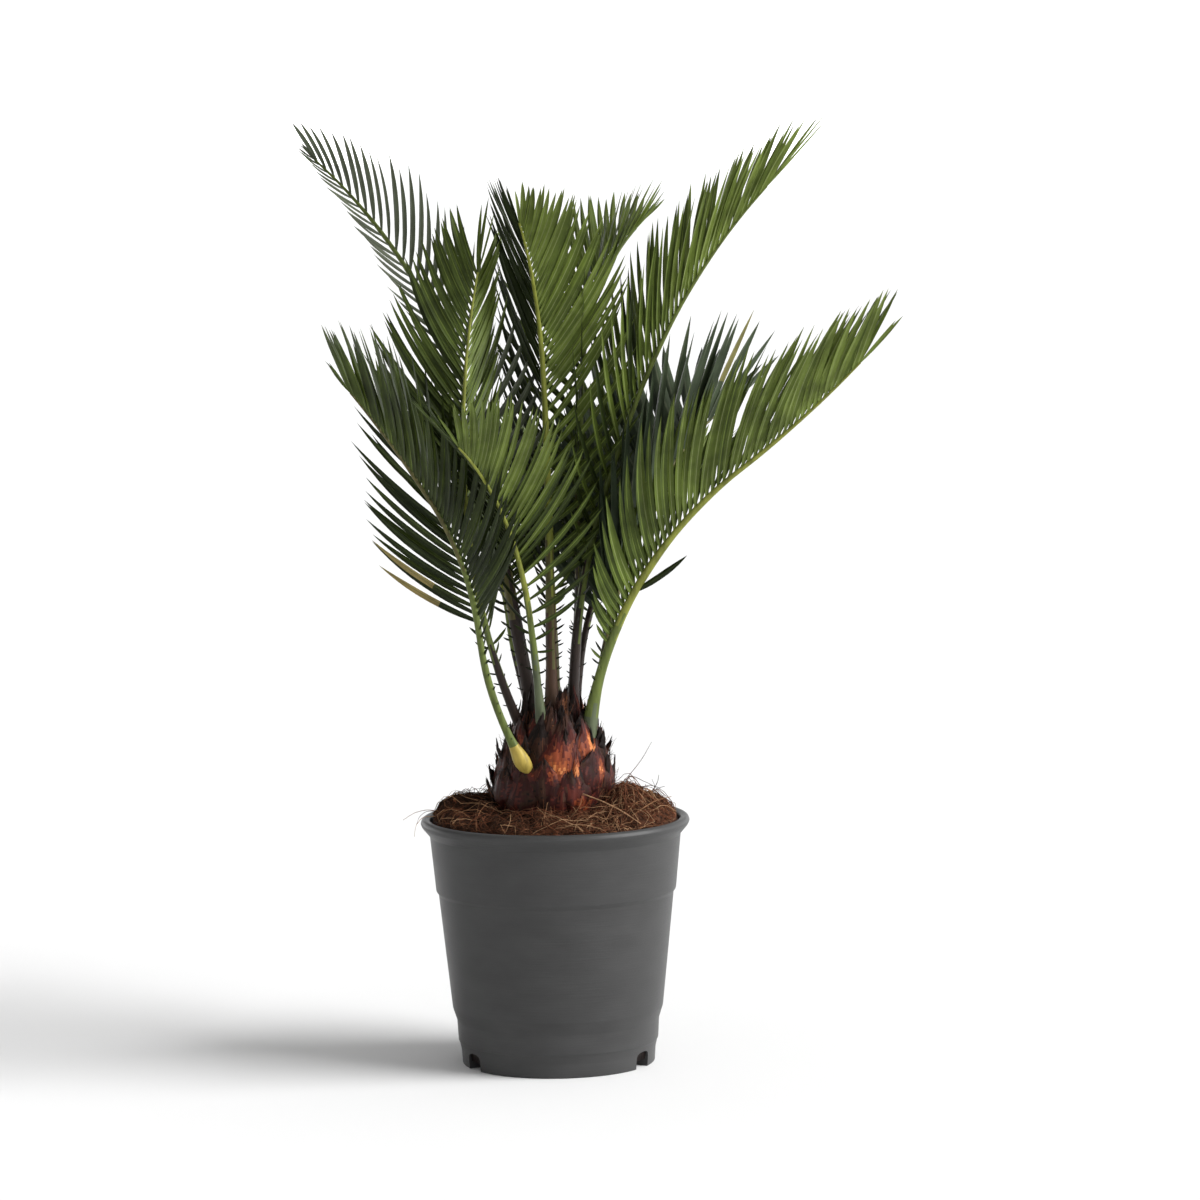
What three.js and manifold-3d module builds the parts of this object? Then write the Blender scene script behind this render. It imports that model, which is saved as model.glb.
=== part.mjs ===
// A young sago palm in a plastic nursery pot. Millimetres, +Z up.
// The origin is the centre of the pot's flat underside. +X is the plant's right and -Y its front.
import * as THREE from "three";
import { mergeVertices } from "three/addons/utils/BufferGeometryUtils.js";
import Module from "manifold-3d";

// Clearance between pieces that touch, and the size of the slivers that are cleaned away.
const GAP = 0.3;
const SLIVER = 0.01;

// Pot: outer radii and heights of its bands, from the foot up.
const POT_HEIGHT = 175;
const POT_SEGMENTS = 32;
const WALL = 1.8;
const FLOOR = 2.4;
const FOOT_PAD_RADIUS = 24;
const FOOT_RECESS = 2.4;
const FOOT_RING_WIDTH = 9;
const FOOT_RADIUS = 68.1;
const FOOT_BAND = { radius: 68.8, top: 10 };
const LOWER_BAND = { bottom: 14, bottomRadius: 69.9, top: 31, topRadius: 71.6 };
const MAIN_WALL = { bottom: 40, bottomRadius: 74.5, top: 119, topRadius: 83 };
const UPPER_BAND = { bottom: 124.5, bottomRadius: 84.8, top: 162.5, topRadius: 88.6 };
const RIM_RADIUS = 95;
const RIM_INNER_RADIUS = 88;
const INNER_CORNER = 1;

// The rim's rounded lip: steps in from a radius, and down from the pot's top.
const LIP_OUTSIDE = [
  [4, 9.5],
  [1, 6],
  [0, 3.5],
  [1, 1],
  [3, 0],
];
const LIP_INSIDE = [
  [-1, 0.6],
  [0, 2.5],
];

// Drain notches in the foot, one at the back and two turned to the front.
const NOTCH = { width: 16, height: 12, depth: 14, overrun: 4, curve: 3, headings: [90, 210, 330] };

// Soil: a filling of coir that rises in a low mound round the trunk.
const SOIL_SEAT = 176;
const SOIL_SEAT_RADIUS = 46;
const SOIL_EDGE = 172;
const SOIL_EDGE_GAP = 0.2;
const SOIL_RINGS = [80, 70, 61, 54];
const SOIL_SEAT_LIP = 1;
const SOIL_MOUND = 11;
const SOIL_FRONT_DIP = 0.7;
const SOIL_LUMP = 1.8;
const SOIL_TILT = 1.5;

// Trunk: core heights and radii from its flat foot to the crown, the foot's place and the sideways
// lean per height, and the leaf bases that armour it.
const TRUNK_CORE = [
  [SOIL_SEAT + GAP, 37],
  [186, 40],
  [200, 39],
  [214, 35],
  [228, 29],
  [239, 21],
  [247, 11],
];
const TRUNK_TOP = 251;
const TRUNK_SEGMENTS = 12;
const TRUNK_LEAN = { start: -2.5, x: 0.06, y: 0 };
const LEAF_BASES = { count: 42, length: 26, width: 18, thickness: 6, flare: 24, flareSwing: 8 };
const LEAF_BASE_SIZE = { smallest: 0.85, spread: 0.3, taper: 0.25 };
const LEAF_BASE_SHAPE = { rooted: 4, footShare: 0.8, shoulder: 0.45 };
const LEAF_BASE_ZONE = { bottom: 178, top: 240 };
const GOLDEN_ANGLE = 137.508;

// Rib of every frond: radii at the seat, the blade's start and the tip, and how deep it is rooted.
const RACHIS = { seatRadius: 4, bladeRadius: 2.4, tipRadius: 1, sunk: 13, stalkSteps: 5, frames: 48 };

// Leaflets of every frond: where they bend, the share of their spacing that they fill, how far
// they curl towards the tip, and their thickness. The longest stand between rise and fall.
const LEAFLET = { waist: 0.4, fill: 0.8, curl: 0.44, thinness: 0.0125, thinnest: 0.8 };
const ROW = { rise: 0.35, fall: 0.45, fallPower: 1.6, openPower: 0.8, closingFrom: 0.86, closing: 0.3 };
const SPREAD = { swing: 1.5, vee: 2, length: 0.05 };

// Swings in degrees and shares of its length that a leaflet tries until it has room.
const TRIES = [
  [0, 1],
  [7, 1],
  [-7, 1],
  [14, 1],
  [-14, 1],
  [0, 0.7],
  [10, 0.7],
  [-10, 0.7],
  [0, 0.45],
];

// Each frond leaves the crown at its seat towards its heading (0 is +X, 90 is +Y). Its lean from the
// vertical is given at the seat, one third and two thirds of its length, and the tip. roll turns
// the blade about its rib, vee lifts its two rows of leaflets, and open is their angle to the rib
// at the blade's start and end. rows and ends shorten a row, and the leaflets at both ends, and
// closing is the share by which the last leaflets close towards the rib.
const FRONDS = [
  {
    name: "frond_back_left",
    seat: [-12, 8, 238],
    lean: [14, 9, 32, 54],
    heading: [147, 146],
    length: 454,
    bare: 0.28,
    pairs: 28,
    leaflet: 82,
    roll: -49,
    vee: [46, 46],
    open: [78, 34],
    rows: [1, 0.54],
    ends: [0.8, 0.25],
    closing: 0.3,
  },
  {
    name: "frond_upright_left",
    seat: [-22, -4, 236],
    lean: [31, 14, -2, -16],
    heading: [-133, -133],
    length: 336,
    bare: 0.25,
    pairs: 26,
    leaflet: 104,
    roll: 66,
    vee: [40, 40],
    open: [60, 34],
    rows: [1, 0.85],
    ends: [0.85, 0.52],
    closing: 0.05,
  },
  {
    name: "frond_front",
    seat: [-8, -22, 236],
    lean: [8, 15, 42, 62],
    heading: [-114, -115],
    length: 257,
    bare: 0.3,
    pairs: 22,
    leaflet: 92,
    roll: 0,
    vee: [35, 35],
    open: [66, 26],
    rows: [1, 1],
    ends: [0.6, 0.6],
  },
  {
    name: "frond_front_left",
    seat: [-19, -34, 215],
    lean: [33, 7, 33, 41],
    heading: [-155, -153],
    length: 301,
    bare: 0.38,
    pairs: 22,
    leaflet: 106,
    roll: -20,
    vee: [38, 38],
    open: [58, 32],
    rows: [1, 1],
    ends: [0.75, 0.46],
    closing: 0.1,
  },
  {
    name: "frond_centre",
    seat: [-1, -4, 240],
    lean: [0, 0, 8, 46],
    heading: [-105, -105],
    length: 371,
    bare: 0.27,
    pairs: 27,
    leaflet: 104,
    roll: -8,
    vee: [36, 36],
    open: [60, 30],
    rows: [1, 1],
    ends: [0.6, 0.36],
    closing: 0.45,
  },
  {
    name: "frond_centre_back",
    seat: [11, 16, 240],
    lean: [13, 0, 6, 58],
    heading: [52, 50],
    length: 369,
    bare: 0.42,
    pairs: 20,
    leaflet: 94,
    roll: -15,
    vee: [40, 40],
    open: [64, 30],
    rows: [1, 1],
    ends: [0.5, 0.4],
  },
  {
    name: "frond_right",
    seat: [24, -14, 232],
    lean: [7, 31, 53, 45],
    heading: [-14, -13],
    length: 339,
    bare: 0.21,
    pairs: 28,
    leaflet: 119,
    roll: 0,
    vee: [40, 40],
    open: [64, 36],
    rows: [1, 1],
    ends: [0.45, 0.42],
    closing: 0.35,
  },
  {
    name: "frond_upright_right",
    seat: [14, 4, 240],
    lean: [-1, 15, 26, 44],
    heading: [8, 8],
    length: 411,
    bare: 0.26,
    pairs: 27,
    leaflet: 104,
    roll: 0,
    vee: [43, 43],
    open: [66, 28],
    rows: [1, 0.9],
    ends: [0.28, 0.43],
    closing: 0.1,
  },
  {
    name: "frond_back_right",
    seat: [26, 14, 235],
    lean: [12, 19, 35, 60],
    heading: [41, 41],
    length: 256,
    bare: 0.3,
    pairs: 21,
    leaflet: 126,
    roll: -18,
    vee: [40, 40],
    open: [60, 56],
    rows: [1, 1],
    ends: [0.9, 0.55],
  },
  {
    name: "frond_rear",
    seat: [2, 28, 236],
    lean: [6, 30, 62, 85],
    heading: [95, 92],
    length: 290,
    bare: 0.28,
    pairs: 22,
    leaflet: 86,
    roll: 0,
    vee: [38, 38],
    open: [66, 28],
    rows: [1, 1],
    ends: [0.6, 0.55],
  },
  {
    name: "frond_rear_left",
    seat: [-12, 24, 236],
    lean: [34, 12, 44, 57],
    heading: [127, 127],
    length: 250,
    bare: 0.28,
    pairs: 20,
    leaflet: 86,
    roll: 0,
    vee: [38, 38],
    open: [66, 28],
    rows: [1, 1],
    ends: [0.6, 0.55],
  },
  {
    name: "frond_rear_right",
    seat: [16, 32, 232],
    lean: [-1, 25, 64, 68],
    heading: [53, 49],
    length: 253,
    bare: 0.3,
    pairs: 20,
    leaflet: 86,
    roll: 0,
    vee: [38, 38],
    open: [66, 28],
    rows: [1, 1],
    ends: [0.6, 0.55],
  },
];

// Seeds of the repeatable variation.
const SEEDS = { leafBases: 5, fronds: 11 };

const wasm = await Module();
wasm.setup();

const potPlastic = new THREE.MeshStandardMaterial({ color: 0x46484a, roughness: 0.45, metalness: 0 });
const coir = new THREE.MeshStandardMaterial({ color: 0x5e3d26, roughness: 1, metalness: 0 });
const bark = new THREE.MeshStandardMaterial({ color: 0x5a2c1d, roughness: 0.9, metalness: 0 });
const foliage = new THREE.MeshStandardMaterial({ color: 0x3f5a26, roughness: 0.55, metalness: 0 });

const radians = THREE.MathUtils.degToRad;
const mix = THREE.MathUtils.lerp;

// A repeatable stream of numbers from 0 to 1.
function stream(seed) {
  let state = seed >>> 0;
  return () => {
    state = (Math.imul(state, 1664525) + 1013904223) >>> 0;
    return state / 4294967296;
  };
}

// A closed three.js geometry as a manifold-3d solid.
function solid(geometry) {
  const bare = geometry.clone();
  bare.deleteAttribute("normal");
  bare.deleteAttribute("uv");
  const merged = mergeVertices(bare, 1e-4);
  return new wasm.Manifold(
    new wasm.Mesh({
      numProp: 3,
      vertProperties: merged.attributes.position.array,
      triVerts: new Uint32Array(merged.index.array),
    }),
  );
}

// A solid as a named mesh: its one outer body, without scraps, sealed hollows or the slivers
// that joining leaves.
function piece(name, made, material) {
  const bodies = made.simplify(SLIVER).decompose();
  bodies.sort((a, b) => b.volume() - a.volume());
  const mesh = bodies[0].getMesh();
  const geometry = new THREE.BufferGeometry();
  const positions = new Float32Array(mesh.numVert * 3);
  for (let i = 0; i < mesh.numVert; i += 1) {
    positions.set(mesh.vertProperties.subarray(i * mesh.numProp, i * mesh.numProp + 3), i * 3);
  }
  geometry.setAttribute("position", new THREE.BufferAttribute(positions, 3));
  geometry.setIndex(new THREE.BufferAttribute(new Uint32Array(mesh.triVerts), 1));
  geometry.computeVertexNormals();
  const result = new THREE.Mesh(geometry, material);
  result.name = name;
  return result;
}

// Joins rings of points, each anticlockwise about the way from the first ring to the last, into a
// closed geometry. The last ring may be a single point.
function loft(rings) {
  const positions = [];
  const faces = [];
  const firsts = [];
  for (const ring of rings) {
    firsts.push(positions.length / 3);
    for (const point of ring) positions.push(point.x, point.y, point.z);
  }
  const sides = rings[0].length;
  for (let k = 2; k < sides; k += 1) faces.push(0, k, k - 1);
  for (let i = 1; i < rings.length; i += 1) {
    const below = firsts[i - 1];
    const above = firsts[i];
    for (let k = 0; k < sides; k += 1) {
      const next = (k + 1) % sides;
      if (rings[i].length === 1) {
        faces.push(below + k, below + next, above);
      } else {
        faces.push(below + k, below + next, above + next);
        faces.push(below + k, above + next, above + k);
      }
    }
  }
  const last = firsts[firsts.length - 1];
  const lastSides = rings[rings.length - 1].length;
  for (let k = 2; k < lastSides; k += 1) faces.push(last, last + k - 1, last + k);
  const geometry = new THREE.BufferGeometry();
  geometry.setAttribute("position", new THREE.Float32BufferAttribute(positions, 3));
  geometry.setIndex(faces);
  return geometry;
}

// A solid of revolution about +Z from a closed or axis-to-axis profile of [radius, height].
function turned(profile, segments) {
  const points = profile.map(([radius, height]) => new THREE.Vector2(radius, height));
  return new THREE.LatheGeometry(points, segments).rotateX(Math.PI / 2);
}

// The pot's outer profile from the foot to under the rim, moved inwards by a distance.
function potWall(inset) {
  return [
    [FOOT_BAND.radius - inset, FOOT_BAND.top],
    [LOWER_BAND.bottomRadius - inset, LOWER_BAND.bottom],
    [LOWER_BAND.topRadius - inset, LOWER_BAND.top],
    [MAIN_WALL.bottomRadius - inset, MAIN_WALL.bottom],
    [MAIN_WALL.topRadius - inset, MAIN_WALL.top],
    [UPPER_BAND.bottomRadius - inset, UPPER_BAND.bottom],
    [UPPER_BAND.topRadius - inset, UPPER_BAND.top],
  ];
}

// An arched prism that passes through the foot's wall at a heading, grown by a margin.
function drainArch(heading, margin) {
  const half = NOTCH.width / 2 + margin;
  const springing = NOTCH.height - NOTCH.width / 4;
  const arch = new THREE.Shape();
  arch.moveTo(-half, -1);
  arch.lineTo(half, -1);
  arch.lineTo(half, springing);
  arch.quadraticCurveTo(half, NOTCH.height + margin, 0, NOTCH.height + margin);
  arch.quadraticCurveTo(-half, NOTCH.height + margin, -half, springing);
  const depth = NOTCH.depth + margin;
  const options = { depth, bevelEnabled: false, curveSegments: NOTCH.curve };
  const prism = new THREE.ExtrudeGeometry(arch, options);
  prism.rotateX(Math.PI / 2);
  prism.rotateZ(Math.PI / 2);
  prism.translate(FOOT_RADIUS + NOTCH.overrun - depth, 0, 0);
  prism.rotateZ(radians(heading));
  return prism;
}

function makePot() {
  const foot = FOOT_RADIUS - FOOT_RING_WIDTH;
  const outline = [
    [0, 0],
    [FOOT_PAD_RADIUS, 0],
    [FOOT_PAD_RADIUS + FOOT_RECESS, FOOT_RECESS],
    [foot - FOOT_RECESS, FOOT_RECESS],
    [foot, 0],
    [FOOT_RADIUS, 0],
    ...potWall(0),
    ...LIP_OUTSIDE.map(([inset, drop]) => [RIM_RADIUS - inset, POT_HEIGHT - drop]),
    ...LIP_INSIDE.map(([inset, drop]) => [RIM_INNER_RADIUS - inset, POT_HEIGHT - drop]),
    ...potWall(WALL).reverse(),
    [FOOT_BAND.radius - WALL - INNER_CORNER, FOOT_RECESS + FLOOR],
    [0, FOOT_RECESS + FLOOR],
  ];
  let pot = solid(turned(outline, POT_SEGMENTS));
  for (const heading of NOTCH.headings) pot = pot.subtract(solid(drainArch(heading, 0)));
  return pot;
}

// Height of the soil at a place outside the trunk's seat.
function soilHeight(radius, angle) {
  const edge = RIM_INNER_RADIUS - WALL;
  const way = THREE.MathUtils.clamp((radius - SOIL_SEAT_RADIUS) / (edge - SOIL_SEAT_RADIUS), 0, 1);
  const front = Math.max(0, -Math.sin(angle));
  const heap = SOIL_MOUND * (1 - SOIL_FRONT_DIP * front) * Math.sqrt(Math.sin(Math.PI * way));
  const mound = mix(SOIL_SEAT, SOIL_EDGE, way) + heap;
  const lumps = Math.sin(5 * angle + radius / 6) + Math.sin(8 * angle - radius / 4);
  const side = SOIL_TILT * Math.cos(angle);
  return mound + (SOIL_LUMP * lumps + side) * Math.sin(Math.PI * Math.min(1, way + 0.15));
}

function makeSoil() {
  const inside = WALL + GAP;
  const soilRadius = RIM_INNER_RADIUS - WALL - SOIL_EDGE_GAP;
  const innerRing = SOIL_SEAT_RADIUS + SOIL_SEAT_LIP;
  const rings = [
    [0, FOOT_RECESS + FLOOR + GAP],
    [FOOT_BAND.radius - inside - INNER_CORNER, FOOT_RECESS + FLOOR + GAP],
    ...potWall(inside),
    [soilRadius, SOIL_EDGE],
    ...SOIL_RINGS.map((radius) => [radius, SOIL_EDGE]),
    [innerRing, SOIL_EDGE],
    [SOIL_SEAT_RADIUS, SOIL_SEAT],
    [0, SOIL_SEAT],
  ];
  const geometry = turned(rings, POT_SEGMENTS);
  const position = geometry.attributes.position;
  for (let i = 0; i < position.count; i += 1) {
    const radius = Math.hypot(position.getX(i), position.getY(i));
    const onTop = position.getZ(i) > SOIL_EDGE - GAP;
    if (onTop && radius > innerRing - GAP && radius < soilRadius - GAP) {
      const angle = Math.atan2(position.getY(i), position.getX(i));
      position.setZ(i, soilHeight(radius, angle));
    }
  }
  let soil = solid(geometry);
  for (const heading of NOTCH.headings) soil = soil.subtract(solid(drainArch(heading, GAP)));
  return soil;
}

// Core radius of the trunk at a height.
function coreRadius(height) {
  for (let i = 1; i < TRUNK_CORE.length; i += 1) {
    const [low, lowRadius] = TRUNK_CORE[i - 1];
    const [high, highRadius] = TRUNK_CORE[i];
    if (height <= high) return mix(lowRadius, highRadius, (height - low) / (high - low));
  }
  return 0;
}

// One pointed leaf base, rooted inside the core and leaning out of it.
function leafBase(index, random) {
  const level = (index + 0.5) / LEAF_BASES.count;
  const height = mix(LEAF_BASE_ZONE.bottom, LEAF_BASE_ZONE.top, level);
  const angle = radians(index * GOLDEN_ANGLE);
  const out = new THREE.Vector3(Math.cos(angle), Math.sin(angle), 0);
  const along = new THREE.Vector3(-Math.sin(angle), Math.cos(angle), 0);
  const swing = LEAF_BASES.flareSwing * (random() - 0.5);
  const flare = radians(LEAF_BASES.flare * (1 - level) + swing);
  const up = new THREE.Vector3(0, 0, Math.cos(flare)).addScaledVector(out, Math.sin(flare));
  const back = new THREE.Vector3().crossVectors(up, along);
  const age = 1 - LEAF_BASE_SIZE.taper * level;
  const size = age * (LEAF_BASE_SIZE.smallest + LEAF_BASE_SIZE.spread * random());
  const foot = out.clone().multiplyScalar(coreRadius(height) - LEAF_BASE_SHAPE.rooted);
  foot.z = height;
  const ring = (rise, width, thickness) => {
    const centre = foot.clone().addScaledVector(up, rise);
    return [
      [width / 2, thickness / 3],
      [0, thickness],
      [-width / 2, thickness / 3],
      [0, -thickness / 2],
    ].map(([x, y]) => centre.clone().addScaledVector(along, x).addScaledVector(back, y));
  };
  const length = LEAF_BASES.length * size;
  const width = LEAF_BASES.width * size;
  const tip = foot.clone().addScaledVector(up, length);
  return loft([
    ring(0, width * LEAF_BASE_SHAPE.footShare, LEAF_BASES.thickness * LEAF_BASE_SHAPE.footShare),
    ring(length * LEAF_BASE_SHAPE.shoulder, width, LEAF_BASES.thickness),
    [tip],
  ]);
}

// A value given at evenly spaced stations, at a share of the way from the first to the last.
function stationValue(stations, share) {
  const place = share * (stations.length - 1);
  const index = Math.min(Math.floor(place), stations.length - 2);
  return mix(stations[index], stations[index + 1], place - index);
}

// A frond's frames along its length: place, way along, upper face and side.
function frondFrames(frond, steps) {
  const frames = [];
  const place = new THREE.Vector3(...frond.seat);
  const roll = radians(frond.roll);
  for (let i = 0; i <= steps; i += 1) {
    const angles = (share) => [
      radians(stationValue(frond.lean, share)),
      radians(mix(frond.heading[0], frond.heading[1], share)),
    ];
    const way = ([lean, heading]) =>
      new THREE.Vector3(
        Math.sin(lean) * Math.cos(heading),
        Math.sin(lean) * Math.sin(heading),
        Math.cos(lean),
      );
    if (i > 0) place.addScaledVector(way(angles((i - 0.5) / steps)), frond.length / steps);
    const [lean, heading] = angles(i / steps);
    const along = way([lean, heading]);
    const upper = new THREE.Vector3(
      -Math.cos(lean) * Math.cos(heading),
      -Math.cos(lean) * Math.sin(heading),
      Math.sin(lean),
    );
    upper.applyAxisAngle(along, roll);
    const side = new THREE.Vector3().crossVectors(along, upper);
    frames.push({ place: place.clone(), along, upper, side });
  }
  return frames;
}

// The frame between two steps.
function frameAt(frames, share) {
  const place = share * (frames.length - 1);
  const index = Math.min(Math.floor(place), frames.length - 2);
  const rest = place - index;
  const blend = (key) => frames[index][key].clone().lerp(frames[index + 1][key], rest);
  return {
    place: blend("place"),
    along: blend("along").normalize(),
    upper: blend("upper").normalize(),
    side: blend("side").normalize(),
  };
}

// Half-thickness of the rib at a share of the frond's length.
function ribRadius(frond, share) {
  if (share < frond.bare) return mix(RACHIS.seatRadius, RACHIS.bladeRadius, share / frond.bare);
  const blade = (share - frond.bare) / (1 - frond.bare);
  return mix(RACHIS.bladeRadius, RACHIS.tipRadius, blade);
}

// The rib's three corners at a share of its length, grown by a margin: upper ridge, then the
// lower corners of its +side and its -side.
function ribSection(frond, frame, share, margin) {
  const radius = ribRadius(frond, share) + 2 * margin;
  return [0, 1, 2].map((corner) => {
    const turn = (corner * 2 * Math.PI) / 3;
    return frame.place
      .clone()
      .addScaledVector(frame.upper, radius * Math.cos(turn))
      .addScaledVector(frame.side, radius * Math.sin(turn));
  });
}

// The rib's sections along its bare stalk, from inside the crown to the blade's start.
function stalkSections(frond, frames, margin) {
  const start = frames[0];
  const place = start.place.clone().addScaledVector(start.along, -RACHIS.sunk - margin);
  const sections = [ribSection(frond, { ...start, place }, 0, margin)];
  for (let i = 0; i < RACHIS.stalkSteps; i += 1) {
    const share = (frond.bare * i) / RACHIS.stalkSteps;
    sections.push(ribSection(frond, frameAt(frames, share), share, margin));
  }
  return sections;
}

// The rib's sections along its blade, one between each pair of leaflets.
function bladeSections(frond, frames, margin) {
  const sections = [];
  for (let i = 0; i <= frond.pairs; i += 1) {
    const share = mix(frond.bare, 1, i / frond.pairs);
    sections.push(ribSection(frond, frameAt(frames, share), share, margin));
  }
  return sections;
}

// The bare rib as a closed rod, grown by a margin.
function rod(frond, frames, margin) {
  return loft([...stalkSections(frond, frames, margin), ...bladeSections(frond, frames, margin)]);
}

// Share of the full leaflet length at a share of the blade.
function leafletShare(frond, blade) {
  const [first, last] = frond.ends;
  const rise = first + (1 - first) * Math.sin((Math.min(blade / ROW.rise, 1) * Math.PI) / 2);
  const past = Math.max((blade - ROW.fall) / (1 - ROW.fall), 0);
  const fall = 1 - (1 - last) * past ** ROW.fallPower;
  return rise * fall;
}

// Where a leaflet starts, how it points and how long it is.
function leafletPose(frond, frames, index, sign, random) {
  const blade = (index + 0.5) / frond.pairs;
  const frame = frameAt(frames, mix(frond.bare, 1, blade));
  const opening = mix(frond.open[0], frond.open[1], blade ** ROW.openPower);
  const last = Math.max((blade - ROW.closingFrom) / (1 - ROW.closingFrom), 0);
  const closed = opening * (1 - (frond.closing ?? ROW.closing) * last);
  const open = closed + SPREAD.swing * (2 * random() - 1);
  const vee = mix(frond.vee[0], frond.vee[1], blade) + SPREAD.vee * (2 * random() - 1);
  const row = frond.rows[sign > 0 ? 0 : 1];
  const jitter = 1 + SPREAD.length * (2 * random() - 1);
  const length = frond.leaflet * row * leafletShare(frond, blade) * jitter;
  return { frame, open, vee, length, sign };
}

// The rings of a bent blade that grows out of one side of the rib between two sections, to its
// waist and its sharp tip, grown by a margin.
function leafletRings(frond, pose, root, swing, share, margin) {
  const { frame, sign } = pose;
  const open = radians(pose.open);
  const vee = radians(pose.vee + swing);
  const length = pose.length * share;
  const out = frame.side.clone().multiplyScalar(sign * Math.cos(vee));
  out.addScaledVector(frame.upper, Math.sin(vee));
  const start = frame.along.clone().multiplyScalar(Math.cos(open)).addScaledVector(out, Math.sin(open));
  const end = start.clone().addScaledVector(frame.along, LEAFLET.curl).normalize();
  const middle = start.clone().add(end).normalize();
  const spacing = (frond.length * (1 - frond.bare)) / frond.pairs;
  const half = (spacing * Math.sin(open) * LEAFLET.fill) / 2 + margin;
  const depth = Math.max(LEAFLET.thinnest, length * LEAFLET.thinness) / 2 + margin;
  const across = frame.along.clone().addScaledVector(middle, -frame.along.dot(middle)).normalize();
  const face = new THREE.Vector3().crossVectors(middle, across);
  const waist = frame.place.clone().addScaledVector(start, length * LEAFLET.waist);
  const tip = waist.clone().addScaledVector(end, length * (1 - LEAFLET.waist) + margin);
  const ring = [
    [-half, depth],
    [-half, -depth],
    [half, -depth],
    [half, depth],
  ].map(([x, y]) => waist.clone().addScaledVector(across, x).addScaledVector(face, y));
  return [root, ring, [tip]];
}

// The four points of the rib's side from which a leaflet grows, anticlockwise from outside.
function leafletRoot(below, above, sign) {
  if (sign > 0) return [below[0], below[1], above[1], above[0]];
  return [below[2], below[0], above[0], above[2]];
}

// The triangles between two rings, or between a ring and a tip.
function band(below, above) {
  const triangles = [];
  below.forEach((point, k) => {
    const next = (k + 1) % below.length;
    if (above.length === 1) {
      triangles.push([point, below[next], above[0]]);
    } else {
      triangles.push([point, below[next], above[next]], [point, above[next], above[k]]);
    }
  });
  return triangles;
}

// The triangles that close the side of the rib that carries no leaflet.
function bareSide(ring) {
  return [
    [ring[0], ring[1], ring[2]],
    [ring[0], ring[2], ring[3]],
  ];
}

function boxesMeet(a, b) {
  return [0, 1, 2].every((k) => a.min[k] < b.max[k] && b.min[k] < a.max[k]);
}

// A closed solid from its triangles of points.
function closedSolid(triangles) {
  const geometry = new THREE.BufferGeometry();
  const positions = triangles.flatMap((triangle) => triangle.flatMap((point) => point.toArray()));
  geometry.setAttribute("position", new THREE.Float32BufferAttribute(positions, 3));
  return solid(geometry);
}

// One frond: a rib whose two sides run out into every leaflet that has room. A leaflet that would
// touch another frond swings aside or is shorter, and is left out where neither helps.
function makeFrond(frond, frames, owner, standing) {
  const random = stream(SEEDS.fronds + owner);
  const stalk = stalkSections(frond, frames, 0);
  const blade = bladeSections(frond, frames, 0);
  const rings = [...stalk, blade[0]];
  const triangles = [[stalk[0][0], stalk[0][2], stalk[0][1]]];
  for (let i = 1; i < rings.length; i += 1) triangles.push(...band(rings[i - 1], rings[i]));
  for (let index = 0; index < frond.pairs; index += 1) {
    const below = blade[index];
    const above = blade[index + 1];
    triangles.push(...bareSide([below[1], below[2], above[2], above[1]]));
    for (const sign of [1, -1]) {
      const root = leafletRoot(below, above, sign);
      const pose = leafletPose(frond, frames, index, sign, random);
      const fit = TRIES.find(([swing, share]) => {
        const space = solid(loft(leafletRings(frond, pose, root, swing, share, GAP)));
        const box = space.boundingBox();
        return !standing.some(
          (other) =>
            other.owner !== owner &&
            boxesMeet(box, other.box) &&
            space.intersect(other.made).volume() > 0,
        );
      });
      if (fit) {
        const leaf = leafletRings(frond, pose, root, fit[0], fit[1], 0);
        const made = solid(loft(leaf));
        standing.push({ owner, made, box: made.boundingBox() });
        triangles.push(...band(leaf[0], leaf[1]), ...band(leaf[1], leaf[2]));
      } else {
        triangles.push(...bareSide(root));
      }
    }
  }
  triangles.push(blade[frond.pairs]);
  return closedSolid(triangles);
}

function makeFronds() {
  const frames = FRONDS.map((frond) => frondFrames(frond, RACHIS.frames));
  const standing = FRONDS.map((frond, owner) => {
    const made = solid(rod(frond, frames[owner], 0));
    return { owner, made, box: made.boundingBox() };
  });
  return FRONDS.map((frond, owner) => makeFrond(frond, frames[owner], owner, standing));
}

// The core with its leaf bases, cut flat at the foot and socketed for each frond.
function makeTrunk() {
  const core = [[0, TRUNK_CORE[0][0]]];
  for (const [height, radius] of TRUNK_CORE) core.push([radius, height]);
  core.push([0, TRUNK_TOP]);
  const random = stream(SEEDS.leafBases);
  const parts = [solid(turned(core, TRUNK_SEGMENTS))];
  for (let i = 0; i < LEAF_BASES.count; i += 1) parts.push(solid(leafBase(i, random)));
  const foot = TRUNK_CORE[0][0];
  const lean = [TRUNK_LEAN.x, TRUNK_LEAN.y, 1, 0];
  const shift = [TRUNK_LEAN.start - TRUNK_LEAN.x * foot, -TRUNK_LEAN.y * foot, 0, 1];
  let trunk = wasm.Manifold.union(parts).transform([1, 0, 0, 0, 0, 1, 0, 0, ...lean, ...shift]);
  const below = new THREE.CylinderGeometry(RIM_RADIUS, RIM_RADIUS, foot, TRUNK_SEGMENTS);
  trunk = trunk.subtract(solid(below.rotateX(Math.PI / 2).translate(0, 0, foot / 2)));
  for (const frond of FRONDS) {
    trunk = trunk.subtract(solid(rod(frond, frondFrames(frond, RACHIS.frames), GAP)));
  }
  return trunk;
}

const plant = new THREE.Group();
plant.add(piece("pot", makePot(), potPlastic));
plant.add(piece("soil", makeSoil(), coir));
plant.add(piece("trunk", makeTrunk(), bark));
makeFronds().forEach((made, i) => plant.add(piece(FRONDS[i].name, made, foliage)));

export default plant;
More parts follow.
